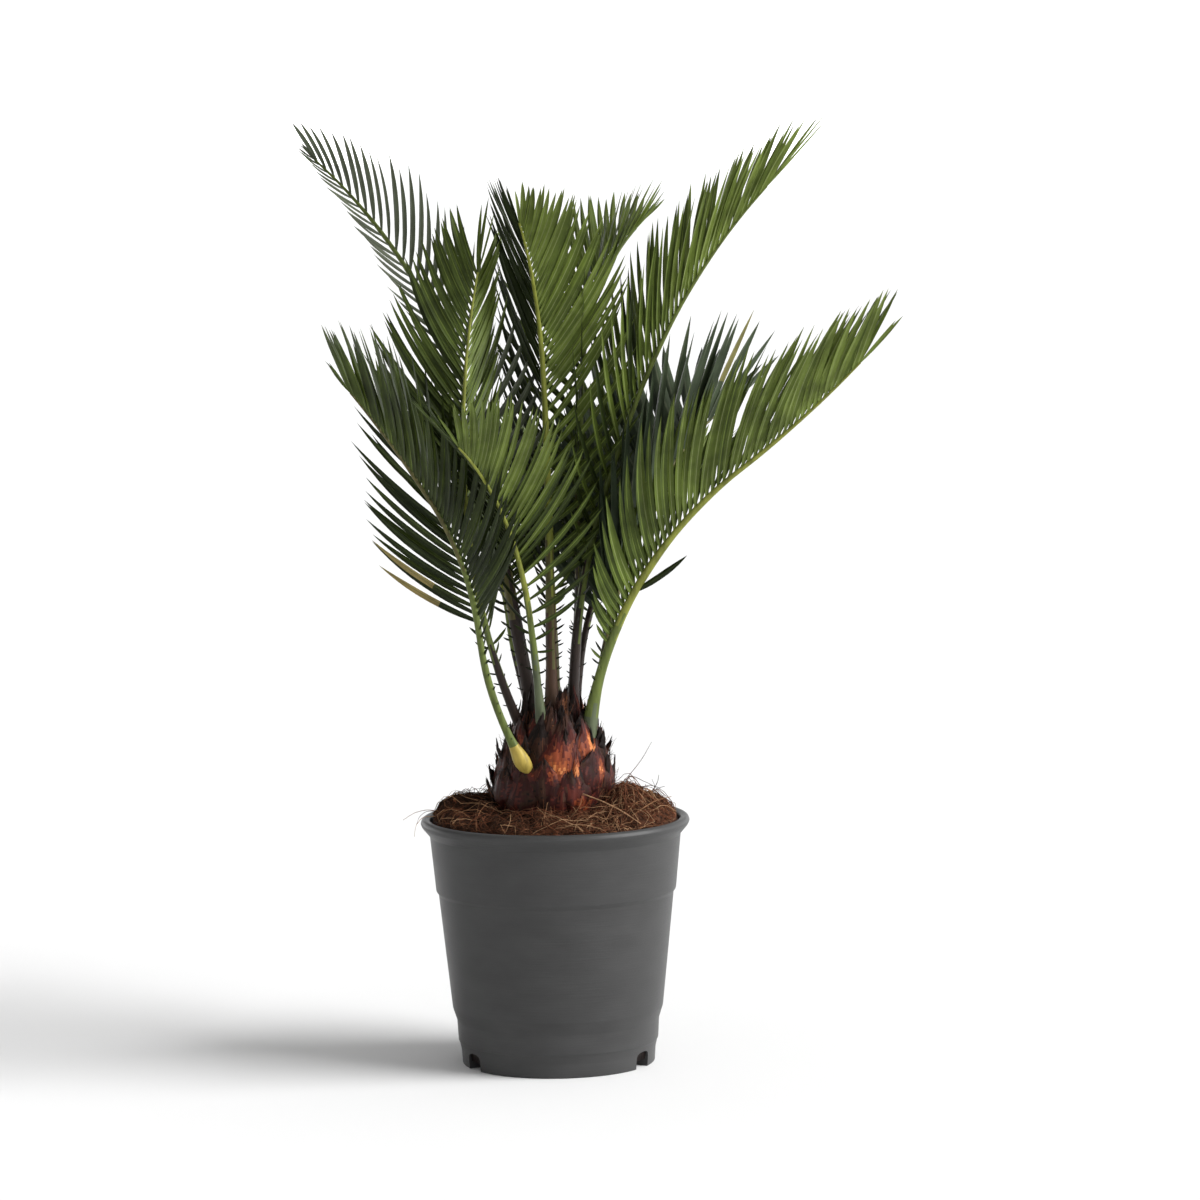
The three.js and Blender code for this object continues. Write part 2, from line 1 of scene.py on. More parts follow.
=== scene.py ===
# Dressed model of a young sago palm in a plastic nursery pot. Metres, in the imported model's frame.
# Sizes in the tables are millimetres, as on a drawing, and MM turns them into metres. Angles are degrees.
from math import atan2, cos, exp, hypot, pi, radians, sin, sqrt
from types import SimpleNamespace as Sizes

import bmesh
import bpy
import numpy as np
from mathutils import Matrix, Vector, noise


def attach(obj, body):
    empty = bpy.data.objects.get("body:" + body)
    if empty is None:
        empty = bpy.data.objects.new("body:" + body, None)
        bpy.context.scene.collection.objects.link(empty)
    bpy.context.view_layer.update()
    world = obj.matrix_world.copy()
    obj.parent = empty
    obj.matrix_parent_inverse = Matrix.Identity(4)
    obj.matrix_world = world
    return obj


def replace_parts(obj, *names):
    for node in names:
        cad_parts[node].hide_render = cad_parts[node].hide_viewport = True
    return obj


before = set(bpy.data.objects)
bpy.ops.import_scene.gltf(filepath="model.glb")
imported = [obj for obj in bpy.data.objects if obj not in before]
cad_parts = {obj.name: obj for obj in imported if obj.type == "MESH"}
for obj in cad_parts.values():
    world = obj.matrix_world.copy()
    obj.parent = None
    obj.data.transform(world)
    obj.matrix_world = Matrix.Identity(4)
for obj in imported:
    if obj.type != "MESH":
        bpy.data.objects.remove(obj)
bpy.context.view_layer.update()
MM = 0.001
UP = np.array([0, 0, 1.0])
GOLDEN_ANGLE = 137.508

# ---- sizes of the pot, soil and trunk
POT_HEIGHT = 175.0
POT_SEGMENTS = 224
WALL = 1.8
FLOOR = 2.4
FLOOR_RADIUS = 66.0
GAP = 0.3
RIM_RADIUS = 95.0
RIM_INNER_RADIUS = 88.0
FOOT_RADIUS = 68.1
FOOT_RECESS = 2.4
FOOT_RING_WIDTH = 9.0
FOOT_PAD_RADIUS = 24.0
ROUNDING = 0.7
NOTCH = Sizes(width=16.0, height=12.0, depth=14.0, overrun=4.0, clear=6.0, below=1.0, headings=(90, 210, 330))
# The wall's radius and height at each band: the solid's, which its inside and the soil follow, and the
# dressed one's.
POT_WALL = [(68.8, 10.0), (69.9, 14.0), (71.6, 31.0), (74.5, 40.0), (83.0, 119.0), (84.8, 124.5),
            (88.6, 162.5)]
DRESSED_WALL = [(68.8, 10.0), (70.05, 15.6), (70.75, 16.6), (71.6, 31.0), (74.5, 40.0), (83.1, 121.0),
                (84.8, 123.6), (88.6, 162.5)]
# The rim's rounded lip: steps in from its outer or inner radius, and down from the pot's top.
LIP_OUTSIDE = [(4, 9.5), (1, 6), (0, 3.5), (1, 1), (3, 0)]
LIP_INSIDE = [(-1, 0.6), (0, 2.5)]

SOIL = Sizes(seat=176.0, seat_radius=46.0, edge=172.0, mound=11.0, dip=0.7, lump=1.8, tilt=1.5)
SOIL_SEGMENTS = 200
SOIL_EDGE_RING = 86.6
SOIL_RINGS = [86, 85, 83.5, 82, *np.arange(80, 30, -1.6)]
# Within the radius near, the bed closes in on the trunk. Its crumbs begin at a margin from the rim.
BED = Sizes(near=56, close=38, height=180.5, tilt=1.5, crumb=2.4, crumb_size=10, margin=6)
# Heaps on the bed: x, y, height and spread.
BANKS = [(45, -14, 11, 190), (-74, 2, 5, 160)]
FIBRE_LIMIT = 85.5
SHORT_FIBRES = 2600
LONG_FIBRES = 150
CRUMBS = 700

TRUNK_CORE = [(176.3, 37), (186, 40), (200, 39), (214, 35), (228, 29), (239, 21), (247, 11)]
TRUNK_TOP = (251, 2)
TRUNK_OUTLINE = [(176, 45), (190, 44), (205, 41), (215, 37), (225, 34), (240, 29), (256, 21)]
TRUNK_LEAN = 0.06
TRUNK_START = -2.5

# ---- colours, in linear light
# Each leaf tone, and the tone of the midrib that goes with it.
# The greens step from dark to light; the rows in FRONDS take them as painted shade and painted light.
LEAF_TONES = {
    "night": ((0.007, 0.010, 0.003), "deep"),
    "deep": ((0.013, 0.020, 0.004), "dark"),
    "dark": ((0.025, 0.036, 0.007), "mid"),
    "mid": ((0.048, 0.068, 0.012), "bright"),
    "fresh": ((0.077, 0.107, 0.018), "pale"),
    "bright": ((0.115, 0.154, 0.030), "pale"),
    "pale": ((0.150, 0.180, 0.060), "pale"),
    "slate": ((0.020, 0.030, 0.015), "blue"),
    "blue": ((0.038, 0.052, 0.028), "grey"),
    "grey": ((0.072, 0.084, 0.052), "silver"),
    "silver": ((0.110, 0.122, 0.085), "silver"),
    "straw": ((0.240, 0.190, 0.070), "brown"),
    "brown": ((0.140, 0.130, 0.045), "straw"),
}
RIB_TONES = {
    "green": (0.085, 0.110, 0.022),
    "yellow": (0.170, 0.185, 0.030),
    "olive": (0.080, 0.072, 0.022),
    "grey_green": (0.070, 0.085, 0.045),
    "brown": (0.050, 0.024, 0.012),
    "umber": (0.018, 0.010, 0.007),
    "base": (0.360, 0.270, 0.055),
}
# Bark and coir: the colour, its share in the darkest and lightest streaks, and the roughness.
BARK_TONES = {
    "black": ((0.010, 0.006, 0.005), 0.5, 1.8, 0.7),
    "umber": ((0.032, 0.014, 0.009), 0.45, 1.8, 0.7),
    "wine": ((0.026, 0.006, 0.005), 0.6, 1.6, 0.5),
    "maroon": ((0.062, 0.012, 0.008), 0.6, 1.5, 0.5),
    "rust": ((0.150, 0.034, 0.014), 0.6, 1.5, 0.45),
    "ember": ((0.250, 0.062, 0.020), 0.6, 1.4, 0.5),
    "amber": ((0.480, 0.170, 0.055), 0.7, 1.3, 0.5),
    "fibre": ((0.130, 0.052, 0.026), 0.4, 1.7, 0.8),
}
COIR_TONES = {
    "dark": ((0.024, 0.011, 0.006), 0.6, 1.5, 0.9),
    "brown": ((0.064, 0.026, 0.013), 0.6, 1.5, 0.9),
    "red": ((0.125, 0.045, 0.022), 0.6, 1.5, 0.9),
    "tan": ((0.200, 0.100, 0.050), 0.7, 1.4, 0.9),
    "straw": ((0.310, 0.180, 0.098), 0.7, 1.3, 0.9),
}
POT_COLOUR = (0.042, 0.042, 0.042)
SOIL_COLOUR = (0.046, 0.019, 0.010)

# ---- the fronds
# What a frond has unless its own row says otherwise. finer is how many leaflets it has for each one
# of the solid's, and swing how freely they stand. Up to the share sparse of the blade every second
# pair is left out. tips scales the last leaflets. faded gives the dried tone of a leaflet by its number
# and row, and strays gives lone leaflets: share of the rib, start, end, length and tone.
PLAIN = dict(roll=0, rows=(1, 1), closing=0.3, finer=1.75, wide=0.95, swing=1, sparse=0, tips=1, bulb=False,
             faded={}, strays=())
# Each frond by the solid's rule: name, seat, leans and headings along its rib, length, share of bare
# stalk, pairs of leaflets, their length, lift, and opening at the blade's start and tip, and the share of
# their length there. Then the radius of its stalk, the tones from its stalk to its tip, those of its two
# rows of leaflets from the blade's start to its tip, and what differs from PLAIN.
# The rows' tones paint light and shade: a row turned away from the key light takes dark greens as painted
# shade, and a lit row takes light greens as painted light. The slate and blue rows of back_right are leaflet
# backs, partly their own greyer green and partly painted shade.
FROND_KEYS = "name seat lean heading length bare pairs leaflet vee open ends stalk ribs tones".split()
FRONDS = [
    ("back_left", (-12, 8, 238), (14, 9, 32, 54), (147, 146), 454, 0.28, 28, 82, 46, (78, 34), (0.8, 0.42),
     5.4, "umber umber olive green", ("mid grey grey grey", "blue grey"),
     dict(roll=-49, rows=(1, 0.54), closing=0.45, finer=1.25, swing=0.6, tips=0.55)),
    ("upright_left", (-22, -4, 236), (31, 14, -2, -16), (-133, -133), 336, 0.25, 26, 104, 40, (60, 34),
     (0.85, 0.52), 3.2, "umber umber green yellow", ("deep dark mid mid", "dark mid fresh"),
     dict(roll=66, rows=(1, 0.85), closing=0.05, faded={(0, 1): "straw", (2, 1): "straw"})),
    ("front", (-8, -22, 236), (8, 15, 42, 62), (-114, -115), 257, 0.3, 22, 92, 35, (76, 26), (0.45, 0.6),
     3.2, "grey_green grey_green green yellow", ("deep deep dark", "dark mid fresh bright fresh"),
     dict(wide=0.8, finer=1.6, sparse=0.3)),
    ("front_left", (-19, -34, 215), (33, 7, 33, 41), (-155, -153), 301, 0.38, 22, 106, 38, (58, 32),
     (0.75, 0.46), 3.4, "green green green olive", ("deep deep dark", "deep dark dark mid"),
     dict(roll=-20, closing=0.1, tips=0.6, bulb=True)),
    ("centre", (-1, -4, 240), (0, 0, 8, 46), (-105, -105), 371, 0.27, 27, 104, 36, (60, 30), (0.6, 0.36),
     4.4, "brown brown olive yellow", ("night deep deep deep", "mid fresh fresh bright"),
     dict(roll=-8, closing=0.45, finer=2.0, sparse=0.5)),
    ("centre_back", (11, 16, 240), (13, 0, 6, 58), (52, 50), 369, 0.42, 20, 94, 40, (64, 30), (0.5, 0.4),
     3.8, "umber umber olive green", ("dark mid fresh", "dark mid fresh fresh"), dict(roll=-15, sparse=0.4)),
    ("right", (24, -14, 232), (7, 31, 53, 45), (-14, -13), 339, 0.21, 28, 119, 40, (64, 36), (0.26, 0.5),
     4.8, "grey_green green green yellow", ("mid fresh fresh bright", "mid fresh fresh"),
     dict(closing=0.1, wide=1.0, tips=0.75,
          strays=((0.325, (0.79, -0.3, 0.45), (0.83, -0.2, 0.66), 47, "deep"),))),
    ("upright_right", (14, 4, 240), (-1, 15, 26, 44), (8, 8), 411, 0.26, 27, 104, 43, (66, 28),
     (0.28, 0.56), 4.2, "umber umber green green", ("deep mid fresh bright", "deep mid fresh bright"),
     dict(rows=(1, 0.9), closing=0, tips=1.3, wide=0.9, sparse=0.35)),
    ("back_right", (26, 14, 235), (12, 19, 35, 60), (41, 41), 256, 0.3, 21, 134, 40, (60, 56), (0.9, 0.55),
     3.0, "umber umber olive olive", ("slate blue blue", "slate blue"),
     dict(roll=-18, wide=1.85, finer=1.1, faded={(20, 1): "brown"})),
    ("rear", (2, 28, 236), (6, 30, 62, 85), (95, 92), 290, 0.42, 22, 86, 38, (66, 28), (0.6, 0.55), 3.4,
     "umber olive yellow yellow", ("dark mid fresh", "dark mid"), dict(wide=0.9)),
    ("rear_left", (-12, 24, 236), (34, 12, 44, 57), (127, 127), 250, 0.4, 20, 86, 38, (66, 28), (0.6, 0.55),
     3.2, "umber umber green yellow", ("dark mid", "deep dark mid"), dict(wide=0.9)),
    ("rear_right", (16, 32, 232), (-1, 25, 64, 68), (53, 49), 253, 0.42, 20, 86, 38, (66, 28), (0.6, 0.55),
     3.2, "umber umber green yellow", ("dark mid", "dark mid fresh"), dict(wide=0.9)),
]
FROND_SEED = 100

# A rib's swollen foot, its waist where the blade starts, its tip, groove and waves, and the bulb that
# ends one stalk.
STALK = Sizes(swell=0.28, swell_reach=26, waist=0.72, tip=0.7, thinning=1.1, groove=0.22, groove_edge=6,
              wave=0.04, sides=10, stations=66, root=6, root_stations=4)
BULB = Sizes(swell=0.95, middle=5, reach=10, closing=0.5, root=6, top=15, ragged=4)
# Where a rib's four tones begin, in shares of its bare stalk, and how they run into each other.
RIB_STEPS = [-1, 0.3, 0.75, 1.25]
RIB_STREAK = 0.16
RIB_BLUR = 0.05

# A leaflet's curve and width, and its half-widths and relief from edge to edge.
LEAFLET = Sizes(curl=0.44, bend=0.6, width=5.0, stations=11, waver=0.03, sag=0.02, rooted=0.5, dried=0.4)
ACROSS = np.array([-1, -0.55, -0.14, 0.14, 0.55, 1])
RELIEF = np.array([-0.36, -0.08, 0.06, 0.06, -0.08, -0.36])
ROW = Sizes(rise=0.35, fall=0.45, fall_power=1.6, open_power=0.8, closing_from=0.86, stagger=0.2,
            full_length=75, short_width=0.6)
SPREAD = Sizes(swing=2.5, vee=4.0, length=0.06, width=0.08, tone=0.3, twist=9.0, seat_twist=3.0)
# The last leaflets: row, opening and share of their length.
TIPS = [(1, 9, 0.9), (-1, 9, 0.85), (1, 3, 1.0)]
TIP_LEAFLET = Sizes(width=2.6, radius=0.5, stations=8)
STRAY_WIDTH = 4.4
# Thorns, which grow into leaflets towards the blade.
THORN = Sizes(spacing=5.5, start=0.2, shortest=0.3, longest=2.4, leafy=34, leafy_power=4.2, width=0.9,
              leafy_width=2.3, opening=72, opening_swing=8, lift=0.6, lift_swing=16, dark_below=0.7,
              stations=6, curl=0.3)


# ---- materials
def material(name, colour, roughness, specular):
    made = bpy.data.materials.new(name)
    made.use_nodes = True
    made.diffuse_color = (*colour, 1)
    set_inputs(shader_of(made), Base_Color=(*colour, 1), Roughness=roughness, Specular_IOR_Level=specular)
    return made


def shader_of(made):
    return made.node_tree.nodes["Principled BSDF"]


def set_inputs(node, **values):
    """Sets a node's inputs by name, with an underscore for each space."""
    for name, value in values.items():
        node.inputs[name.replace("_", " ")].default_value = value


def add_bump(made, height, strength, distance):
    bump = made.node_tree.nodes.new("ShaderNodeBump")
    set_inputs(bump, Strength=strength, Distance=distance)
    made.node_tree.links.new(height, bump.inputs["Height"])
    made.node_tree.links.new(bump.outputs["Normal"], shader_of(made).inputs["Normal"])


def object_noise(made, scale, detail, stretch=(1, 1, 1)):
    """Noise that sticks to the piece. Its pattern is drawn out along an axis with a small stretch."""
    nodes, links = made.node_tree.nodes, made.node_tree.links
    place = nodes.new("ShaderNodeTexCoord")
    mapping = nodes.new("ShaderNodeMapping")
    set_inputs(mapping, Scale=stretch)
    texture = nodes.new("ShaderNodeTexNoise")
    set_inputs(texture, Scale=scale, Detail=detail)
    links.new(place.outputs["Object"], mapping.inputs["Vector"])
    links.new(mapping.outputs["Vector"], texture.inputs["Vector"])
    return texture.outputs["Fac"]


def vary(made, factor, colour, stops):
    """Runs the base colour through shares of a colour, each at its place in the factor."""
    ramp = made.node_tree.nodes.new("ShaderNodeValToRGB")
    while len(ramp.color_ramp.elements) < len(stops):
        ramp.color_ramp.elements.new(0.5)
    for element, (place, share) in zip(ramp.color_ramp.elements, stops):
        element.position = place
        element.color = (*(channel * share for channel in colour), 1)
    made.node_tree.links.new(factor, ramp.inputs["Fac"])
    made.node_tree.links.new(ramp.outputs["Color"], shader_of(made).inputs["Base Color"])


def grown_material(name, colour, roughness, specular, pattern, stops, strength, distance, grain=None):
    """A material whose colour and relief follow one noise, or whose relief has a grain of its own."""
    made = material(name, colour, roughness, specular)
    streaks = object_noise(made, *pattern)
    vary(made, streaks, colour, stops)
    add_bump(made, object_noise(made, *grain) if grain else streaks, strength, distance)
    return made


def pot_material():
    """Moulded plastic: faint mottling, fine rings round the wall, and a smeared gloss."""
    made = material("pot_plastic", POT_COLOUR, roughness=0.4, specular=0.22)
    nodes, links = made.node_tree.nodes, made.node_tree.links
    mottle = object_noise(made, scale=26, detail=6, stretch=(1, 1, 2.4))
    vary(made, mottle, POT_COLOUR, [(0.3, 0.9), (0.5, 1), (0.72, 1.12)])
    relief = nodes.new("ShaderNodeMath")
    relief.operation = "MULTIPLY_ADD"
    relief.inputs[1].default_value = 0.35
    links.new(object_noise(made, scale=2400, detail=2), relief.inputs[0])
    links.new(object_noise(made, scale=60, detail=3, stretch=(0.6, 0.6, 14)), relief.inputs[2])
    add_bump(made, relief.outputs["Value"], strength=0.22, distance=0.0006)
    smear = nodes.new("ShaderNodeMapRange")
    set_inputs(smear, To_Min=0.34, To_Max=0.5)
    links.new(mottle, smear.inputs["Value"])
    links.new(smear.outputs["Result"], shader_of(made).inputs["Roughness"])
    return made


def bark_material(name, colour, dark, light, roughness):
    return grown_material(name, colour, roughness, specular=0.12, pattern=(210, 7, (1, 1, 0.22)),
                          stops=[(0.3, dark), (0.5, 1), (0.7, light)], strength=0.8, distance=0.0012)


LEAF_LOOK = dict(roughness=0.46, specular=0.14, pattern=(45, 4), grain=(900, 3), strength=0.25,
                 stops=[(0.34, 0.7), (0.5, 1), (0.66, 1.25)], distance=0.0004)
RIB_LOOK = dict(roughness=0.5, specular=0.25, pattern=(260, 5, (1, 1, 0.16)), strength=0.4,
                stops=[(0.3, 0.62), (0.5, 1), (0.72, 1.3)], distance=0.0006)
SOIL_LOOK = dict(roughness=0.95, specular=0.15, pattern=(240, 8), strength=1.0,
                 stops=[(0.32, 0.25), (0.5, 1), (0.68, 2.0)], distance=0.002)
LEAF = {tone: grown_material("leaf_" + tone, colour, **LEAF_LOOK) for tone, (colour, _) in LEAF_TONES.items()}
RIB = {tone: grown_material("rib_" + tone, colour, **RIB_LOOK) for tone, colour in RIB_TONES.items()}
BARK = {tone: bark_material("bark_" + tone, *look) for tone, look in BARK_TONES.items()}
COIR = {tone: bark_material("coir_" + tone, *look) for tone, look in COIR_TONES.items()}


# ---- meshes from arrays
def place_object(name, data):
    placed = bpy.data.objects.new(name, data)
    bpy.context.scene.collection.objects.link(placed)
    return placed


def mesh_piece(name, points, faces, looks):
    mesh = bpy.data.meshes.new(name)
    mesh.from_pydata(points, [], faces)
    for look in looks:
        mesh.materials.append(look)
    return place_object(name, mesh)


class Sheet:
    """One joined mesh of grids and faces, whose points are in millimetres."""

    def __init__(self):
        self.points = []
        self.faces = []
        self.tones = []
        self.count = 0

    def faces_of(self, points, faces, tone):
        """Adds faces by their points. tone is one name, or a list with a name for each face."""
        self.points.append(np.asarray(points, float).reshape(-1, 3))
        self.faces.extend([[i + self.count for i in face] for face in faces])
        self.tones.extend([tone] * len(faces) if isinstance(tone, str) else tone)
        self.count += len(self.points[-1])

    def grid(self, points, tone, around=False):
        """Adds a grid of points, closed round its columns if it goes around. tone is one name, or a
        list with one name, or a list of a name for each face, for each row of faces."""
        rows, columns = points.shape[:2]
        last = columns if around else columns - 1
        faces = []
        for i in range(rows - 1):
            for k in range(last):
                n = (k + 1) % columns
                faces.append((i * columns + k, i * columns + n, (i + 1) * columns + n, (i + 1) * columns + k))
        if isinstance(tone, list):
            tone = [name for row in tone for name in ([row] * last if isinstance(row, str) else row)]
        self.faces_of(points, faces, tone)

    def build(self, name, looks, slot, smooth=True):
        used = sorted(set(self.tones))
        points = (np.vstack(self.points) * MM).tolist()
        piece = mesh_piece(name, points, self.faces, [looks[tone] for tone in used])
        mesh = piece.data
        mesh.polygons.foreach_set("material_index", [used.index(tone) for tone in self.tones])
        mesh.polygons.foreach_set("use_smooth", [smooth] * len(self.faces))
        mesh.validate()
        mesh.update()
        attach(piece, "root")
        return piece


def unit(vectors):
    return vectors / np.linalg.norm(vectors, axis=-1, keepdims=True)


def mix(a, b, share):
    return a + (b - a) * share


def turns_of(segments):
    return np.arange(segments) * 2 * np.pi / segments


def outwards(angle):
    return np.array([cos(angle), sin(angle), 0])


def tube(sheet, path, radii, sides, tone):
    """A tapered tube along a path."""
    path = np.asarray(path, float)
    way = unit(np.gradient(path, axis=0))
    guide = np.array([0.31, 0.17, 0.93]) if abs(way[0][2]) < 0.9 else np.array([0.9, 0.3, 0.1])
    first = unit(np.cross(way, guide))
    second = np.cross(way, first)
    turns = turns_of(sides)
    ring = (np.cos(turns)[None, :, None] * first[:, None, :]
            + np.sin(turns)[None, :, None] * second[:, None, :])
    sheet.grid(path[:, None, :] + ring * np.asarray(radii)[:, None, None], tone, around=True)


def lathe(profile, segments):
    """Rings of points round the Z axis through a profile of radii and heights."""
    return np.array([[outwards(a) * r + UP * z for a in turns_of(segments)] for r, z in profile])


def cap(sheet, ring, tone, up):
    """Closes a ring with a fan round its centre."""
    ring = np.asarray(ring)
    points = np.vstack([ring, ring.mean(axis=0)])
    size = len(ring)
    faces = [(k, (k + 1) % size, size) if up else ((k + 1) % size, k, size) for k in range(size)]
    sheet.faces_of(points, faces, tone)


def weld(piece, distance=0.00001):
    """Merges points nearer than a distance in metres, and turns the faces outwards."""
    made = bmesh.new()
    made.from_mesh(piece.data)
    bmesh.ops.remove_doubles(made, verts=made.verts, dist=distance)
    bmesh.ops.recalc_face_normals(made, faces=made.faces)
    made.to_mesh(piece.data)
    made.free()


# ---- fronds
class Rib:
    """A frond's rib, worked out in steps as its solid is."""

    STEPS = 48

    def __init__(self, frond):
        shares = np.arange(self.STEPS + 1) / self.STEPS
        middles = (shares[:-1] + shares[1:]) / 2
        lean, heading = self.angles(frond, middles)
        steps = self.way(lean, heading) * frond.length / self.STEPS
        self.place = np.vstack([frond.seat, np.array(frond.seat) + np.cumsum(steps, axis=0)])
        lean, heading = self.angles(frond, shares)
        self.along = self.way(lean, heading)
        upper = np.c_[-np.cos(lean) * np.cos(heading), -np.cos(lean) * np.sin(heading), np.sin(lean)]
        roll = radians(frond.roll)
        self.upper = upper * cos(roll) + np.cross(self.along, upper) * sin(roll)
        self.side = np.cross(self.along, self.upper)
        self.shares = shares

    @staticmethod
    def angles(frond, shares):
        stations = np.linspace(0, 1, len(frond.lean))
        lean = np.radians(np.interp(shares, stations, frond.lean))
        heading = np.radians(np.interp(shares, [0, 1], frond.heading))
        return lean, heading

    @staticmethod
    def way(lean, heading):
        return np.c_[np.sin(lean) * np.cos(heading), np.sin(lean) * np.sin(heading), np.cos(lean)]

    def at(self, share):
        """The rib's place at a share of its length, and the ways along it, out of its face and across."""
        def blend(values):
            return np.array([np.interp(share, self.shares, values[:, k]) for k in range(3)])

        return blend(self.place), unit(blend(self.along)), unit(blend(self.upper)), unit(blend(self.side))


def rib_radius(frond, share):
    thick = frond.stalk
    waist = thick * STALK.waist
    reach = share * frond.length
    foot = 1 + STALK.swell * exp(-((reach / STALK.swell_reach) ** 2))
    if frond.bulb:
        swell = BULB.swell * exp(-(((reach - BULB.middle) / BULB.reach) ** 2))
        foot = 1 + swell - BULB.closing * max(0, -reach / BULB.root)
    if share < frond.bare:
        return foot * mix(thick, waist, max(share, 0) / frond.bare)
    blade = (share - frond.bare) / (1 - frond.bare)
    return mix(waist, STALK.tip, blade ** STALK.thinning)


def grow_rib(frond, rib, rng, sheet):
    """The rib: a tapered, wandering rod, grooved along its upper face, whose tones run into each other."""
    sides, length, bare = STALK.sides, frond.length, frond.bare
    root = np.linspace(-STALK.root, 0, STALK.root_stations)[:-1] / length
    shares = np.concatenate([root, np.linspace(0, 1, STALK.stations)])
    turns = turns_of(sides)
    groove = 1 - STALK.groove * np.maximum(np.cos(turns), 0) ** STALK.groove_edge
    rings = []
    for share in shares:
        place, along, upper, side = rib.at(max(share, 0))
        place = place + along * (min(share, 0) * length)
        reach = rib_radius(frond, share) * groove
        reach = reach * (1 + STALK.wave * sin(37 * share + length))
        rings.append(place + np.outer(reach * np.cos(turns), upper) + np.outer(reach * np.sin(turns), side))
    steps = np.array(RIB_STEPS) * bare
    streak = rng.normal(0, RIB_STREAK, sides) * bare
    names = frond.ribs.split()
    tones = []
    for share in shares[:-1]:
        places = share + streak + rng.normal(0, RIB_BLUR, sides) * bare
        picks = np.searchsorted(steps, places, side="right").clip(1, len(steps)) - 1
        if frond.bulb and share * length < BULB.top + BULB.ragged * rng.normal():
            tones.append(["base"] * sides)
        else:
            tones.append([names[pick] for pick in picks])
    sheet.grid(np.array(rings), tones, around=True)
    sheet.faces_of(rings[-1], [tuple(range(sides))], names[-1])
    sheet.faces_of(rings[0][::-1], [tuple(range(sides))], tones[0][0])


def blade_profile(t):
    """Half-width of a leaflet along its length: narrow at its seat, even, and drawn to a sharp tip."""
    base = 0.4 + 0.6 * np.minimum(t / 0.25, 1) ** 0.8
    return base * (1 - np.clip((t - 0.5) / 0.5, 0, 1) ** 2.1)


def lay_blade(sheet, rng, root, start, end, edge, size, tones, stations):
    """A bent, folded blade with a paler midrib, which leaves its root one way and ends another. edge is
    the way of its edge, size its length and width, and tones that of its foot and of the rest."""
    length, width = size
    t = np.linspace(0, 1, stations)[:, None]
    bend = LEAFLET.bend
    path = root + length * (start * (t - bend * t**2) + end * bend * t**2)
    way = unit(start * (1 - 2 * bend * t) + end * 2 * bend * t)
    across = unit(edge - way * (way @ edge)[:, None])
    face = np.cross(way, across)
    twist = np.radians(rng.normal(0, SPREAD.twist) * t + rng.normal(0, SPREAD.seat_twist))
    keep, turn = np.cos(twist), np.sin(twist)
    across, face = across * keep + face * turn, face * keep - across * turn
    half = (blade_profile(t[:, 0]) * width / 2)[:, None, None]
    columns, relief = ACROSS[None, :, None], RELIEF[None, :, None]
    dried = LEAFLET.dried * (stations - 1)
    looks = [tones[0] if row < dried else tones[1] for row in range(stations - 1)]
    sheet.grid(path[:, None, :] + half * (columns * across[:, None, :] + relief * face[:, None, :]),
               [[look, look, LEAF_TONES[look][1], look, look] for look in looks])


def leaflet(sheet, rng, seat, sign, radius, size, angles, tones, stations, curl=LEAFLET.curl):
    """A leaflet by the frond's rule, at a seat on a rib of some radius. sign is its row, and angles are
    how far it opens from the rib and lifts from the blade."""
    place, along, upper, side = seat
    opening, lift = (radians(angle) for angle in angles)
    out = side * (sign * cos(lift)) + upper * sin(lift)
    start = along * cos(opening) + out * sin(opening)
    end = unit(start + along * curl + rng.normal(0, LEAFLET.waver, 3) - UP * LEAFLET.sag)
    root = place + out * radius * LEAFLET.rooted
    lay_blade(sheet, rng, root, start, end, along * sign, size, tones, stations)


def leaflet_share(frond, blade):
    """The share of its full length that a leaflet has at a share of the blade."""
    first, last = frond.ends
    rise = first + (1 - first) * sin(min(blade / ROW.rise, 1) * pi / 2)
    past = max((blade - ROW.fall) / (1 - ROW.fall), 0)
    return rise * (1 - (1 - last) * past ** ROW.fall_power)


def row_of(frond, sign):
    """The length's share and the tones of one of the two rows of leaflets, which paint that row's light and
    shade.
    """
    row = 0 if sign > 0 else 1
    return frond.rows[row], frond.tones[row].split()


def grow_rows(frond, rib, rng, sheet):
    """The blade's two rows of leaflets, the few that end it, and its strays."""
    pairs = round(frond.pairs * frond.finer)
    for index in range(pairs):
        blade = (index + 0.5) / pairs
        late = max(0, (blade - ROW.closing_from) / (1 - ROW.closing_from))
        opening = mix(*frond.open, blade ** ROW.open_power) * (1 - frond.closing * late)
        for sign in (1, -1):
            if index % 2 and blade < frond.sparse:
                continue
            share = mix(frond.bare, 1, min(1, blade + sign * ROW.stagger / pairs))
            swing, lift, longer, narrow, pick = rng.uniform(-1, 1, 5)
            angles = (opening + SPREAD.swing * swing * frond.swing,
                      frond.vee + SPREAD.vee * lift * frond.swing)
            row, tones = row_of(frond, sign)
            length = frond.leaflet * row * leaflet_share(frond, blade) * (1 + SPREAD.length * longer)
            broad = mix(ROW.short_width, 1, min(1, length / ROW.full_length))
            width = LEAFLET.width * frond.wide * broad * (1 + SPREAD.width * narrow)
            place = min(max(blade + SPREAD.tone * pick, 0), 0.999)
            tone = tones[int(place * len(tones))]
            leaflet(sheet, rng, rib.at(share), sign, rib_radius(frond, share), (length, width), angles,
                    (tone, frond.faded.get((index, sign), tone)), LEAFLET.stations)
    last = frond.leaflet * frond.ends[1] * frond.tips
    for sign, opening, share in TIPS:
        tone = row_of(frond, sign)[1][-1]
        size = (last * share, TIP_LEAFLET.width * frond.wide)
        leaflet(sheet, rng, rib.at(1), sign, TIP_LEAFLET.radius, size, (opening, frond.vee), (tone, tone),
                TIP_LEAFLET.stations)
    for share, start, end, length, tone in frond.strays:
        place, along, _, _ = rib.at(share)
        lay_blade(sheet, rng, place, unit(np.array(start)), unit(np.array(end)), along, (length, STRAY_WIDTH),
                  (tone, tone), LEAFLET.stations)


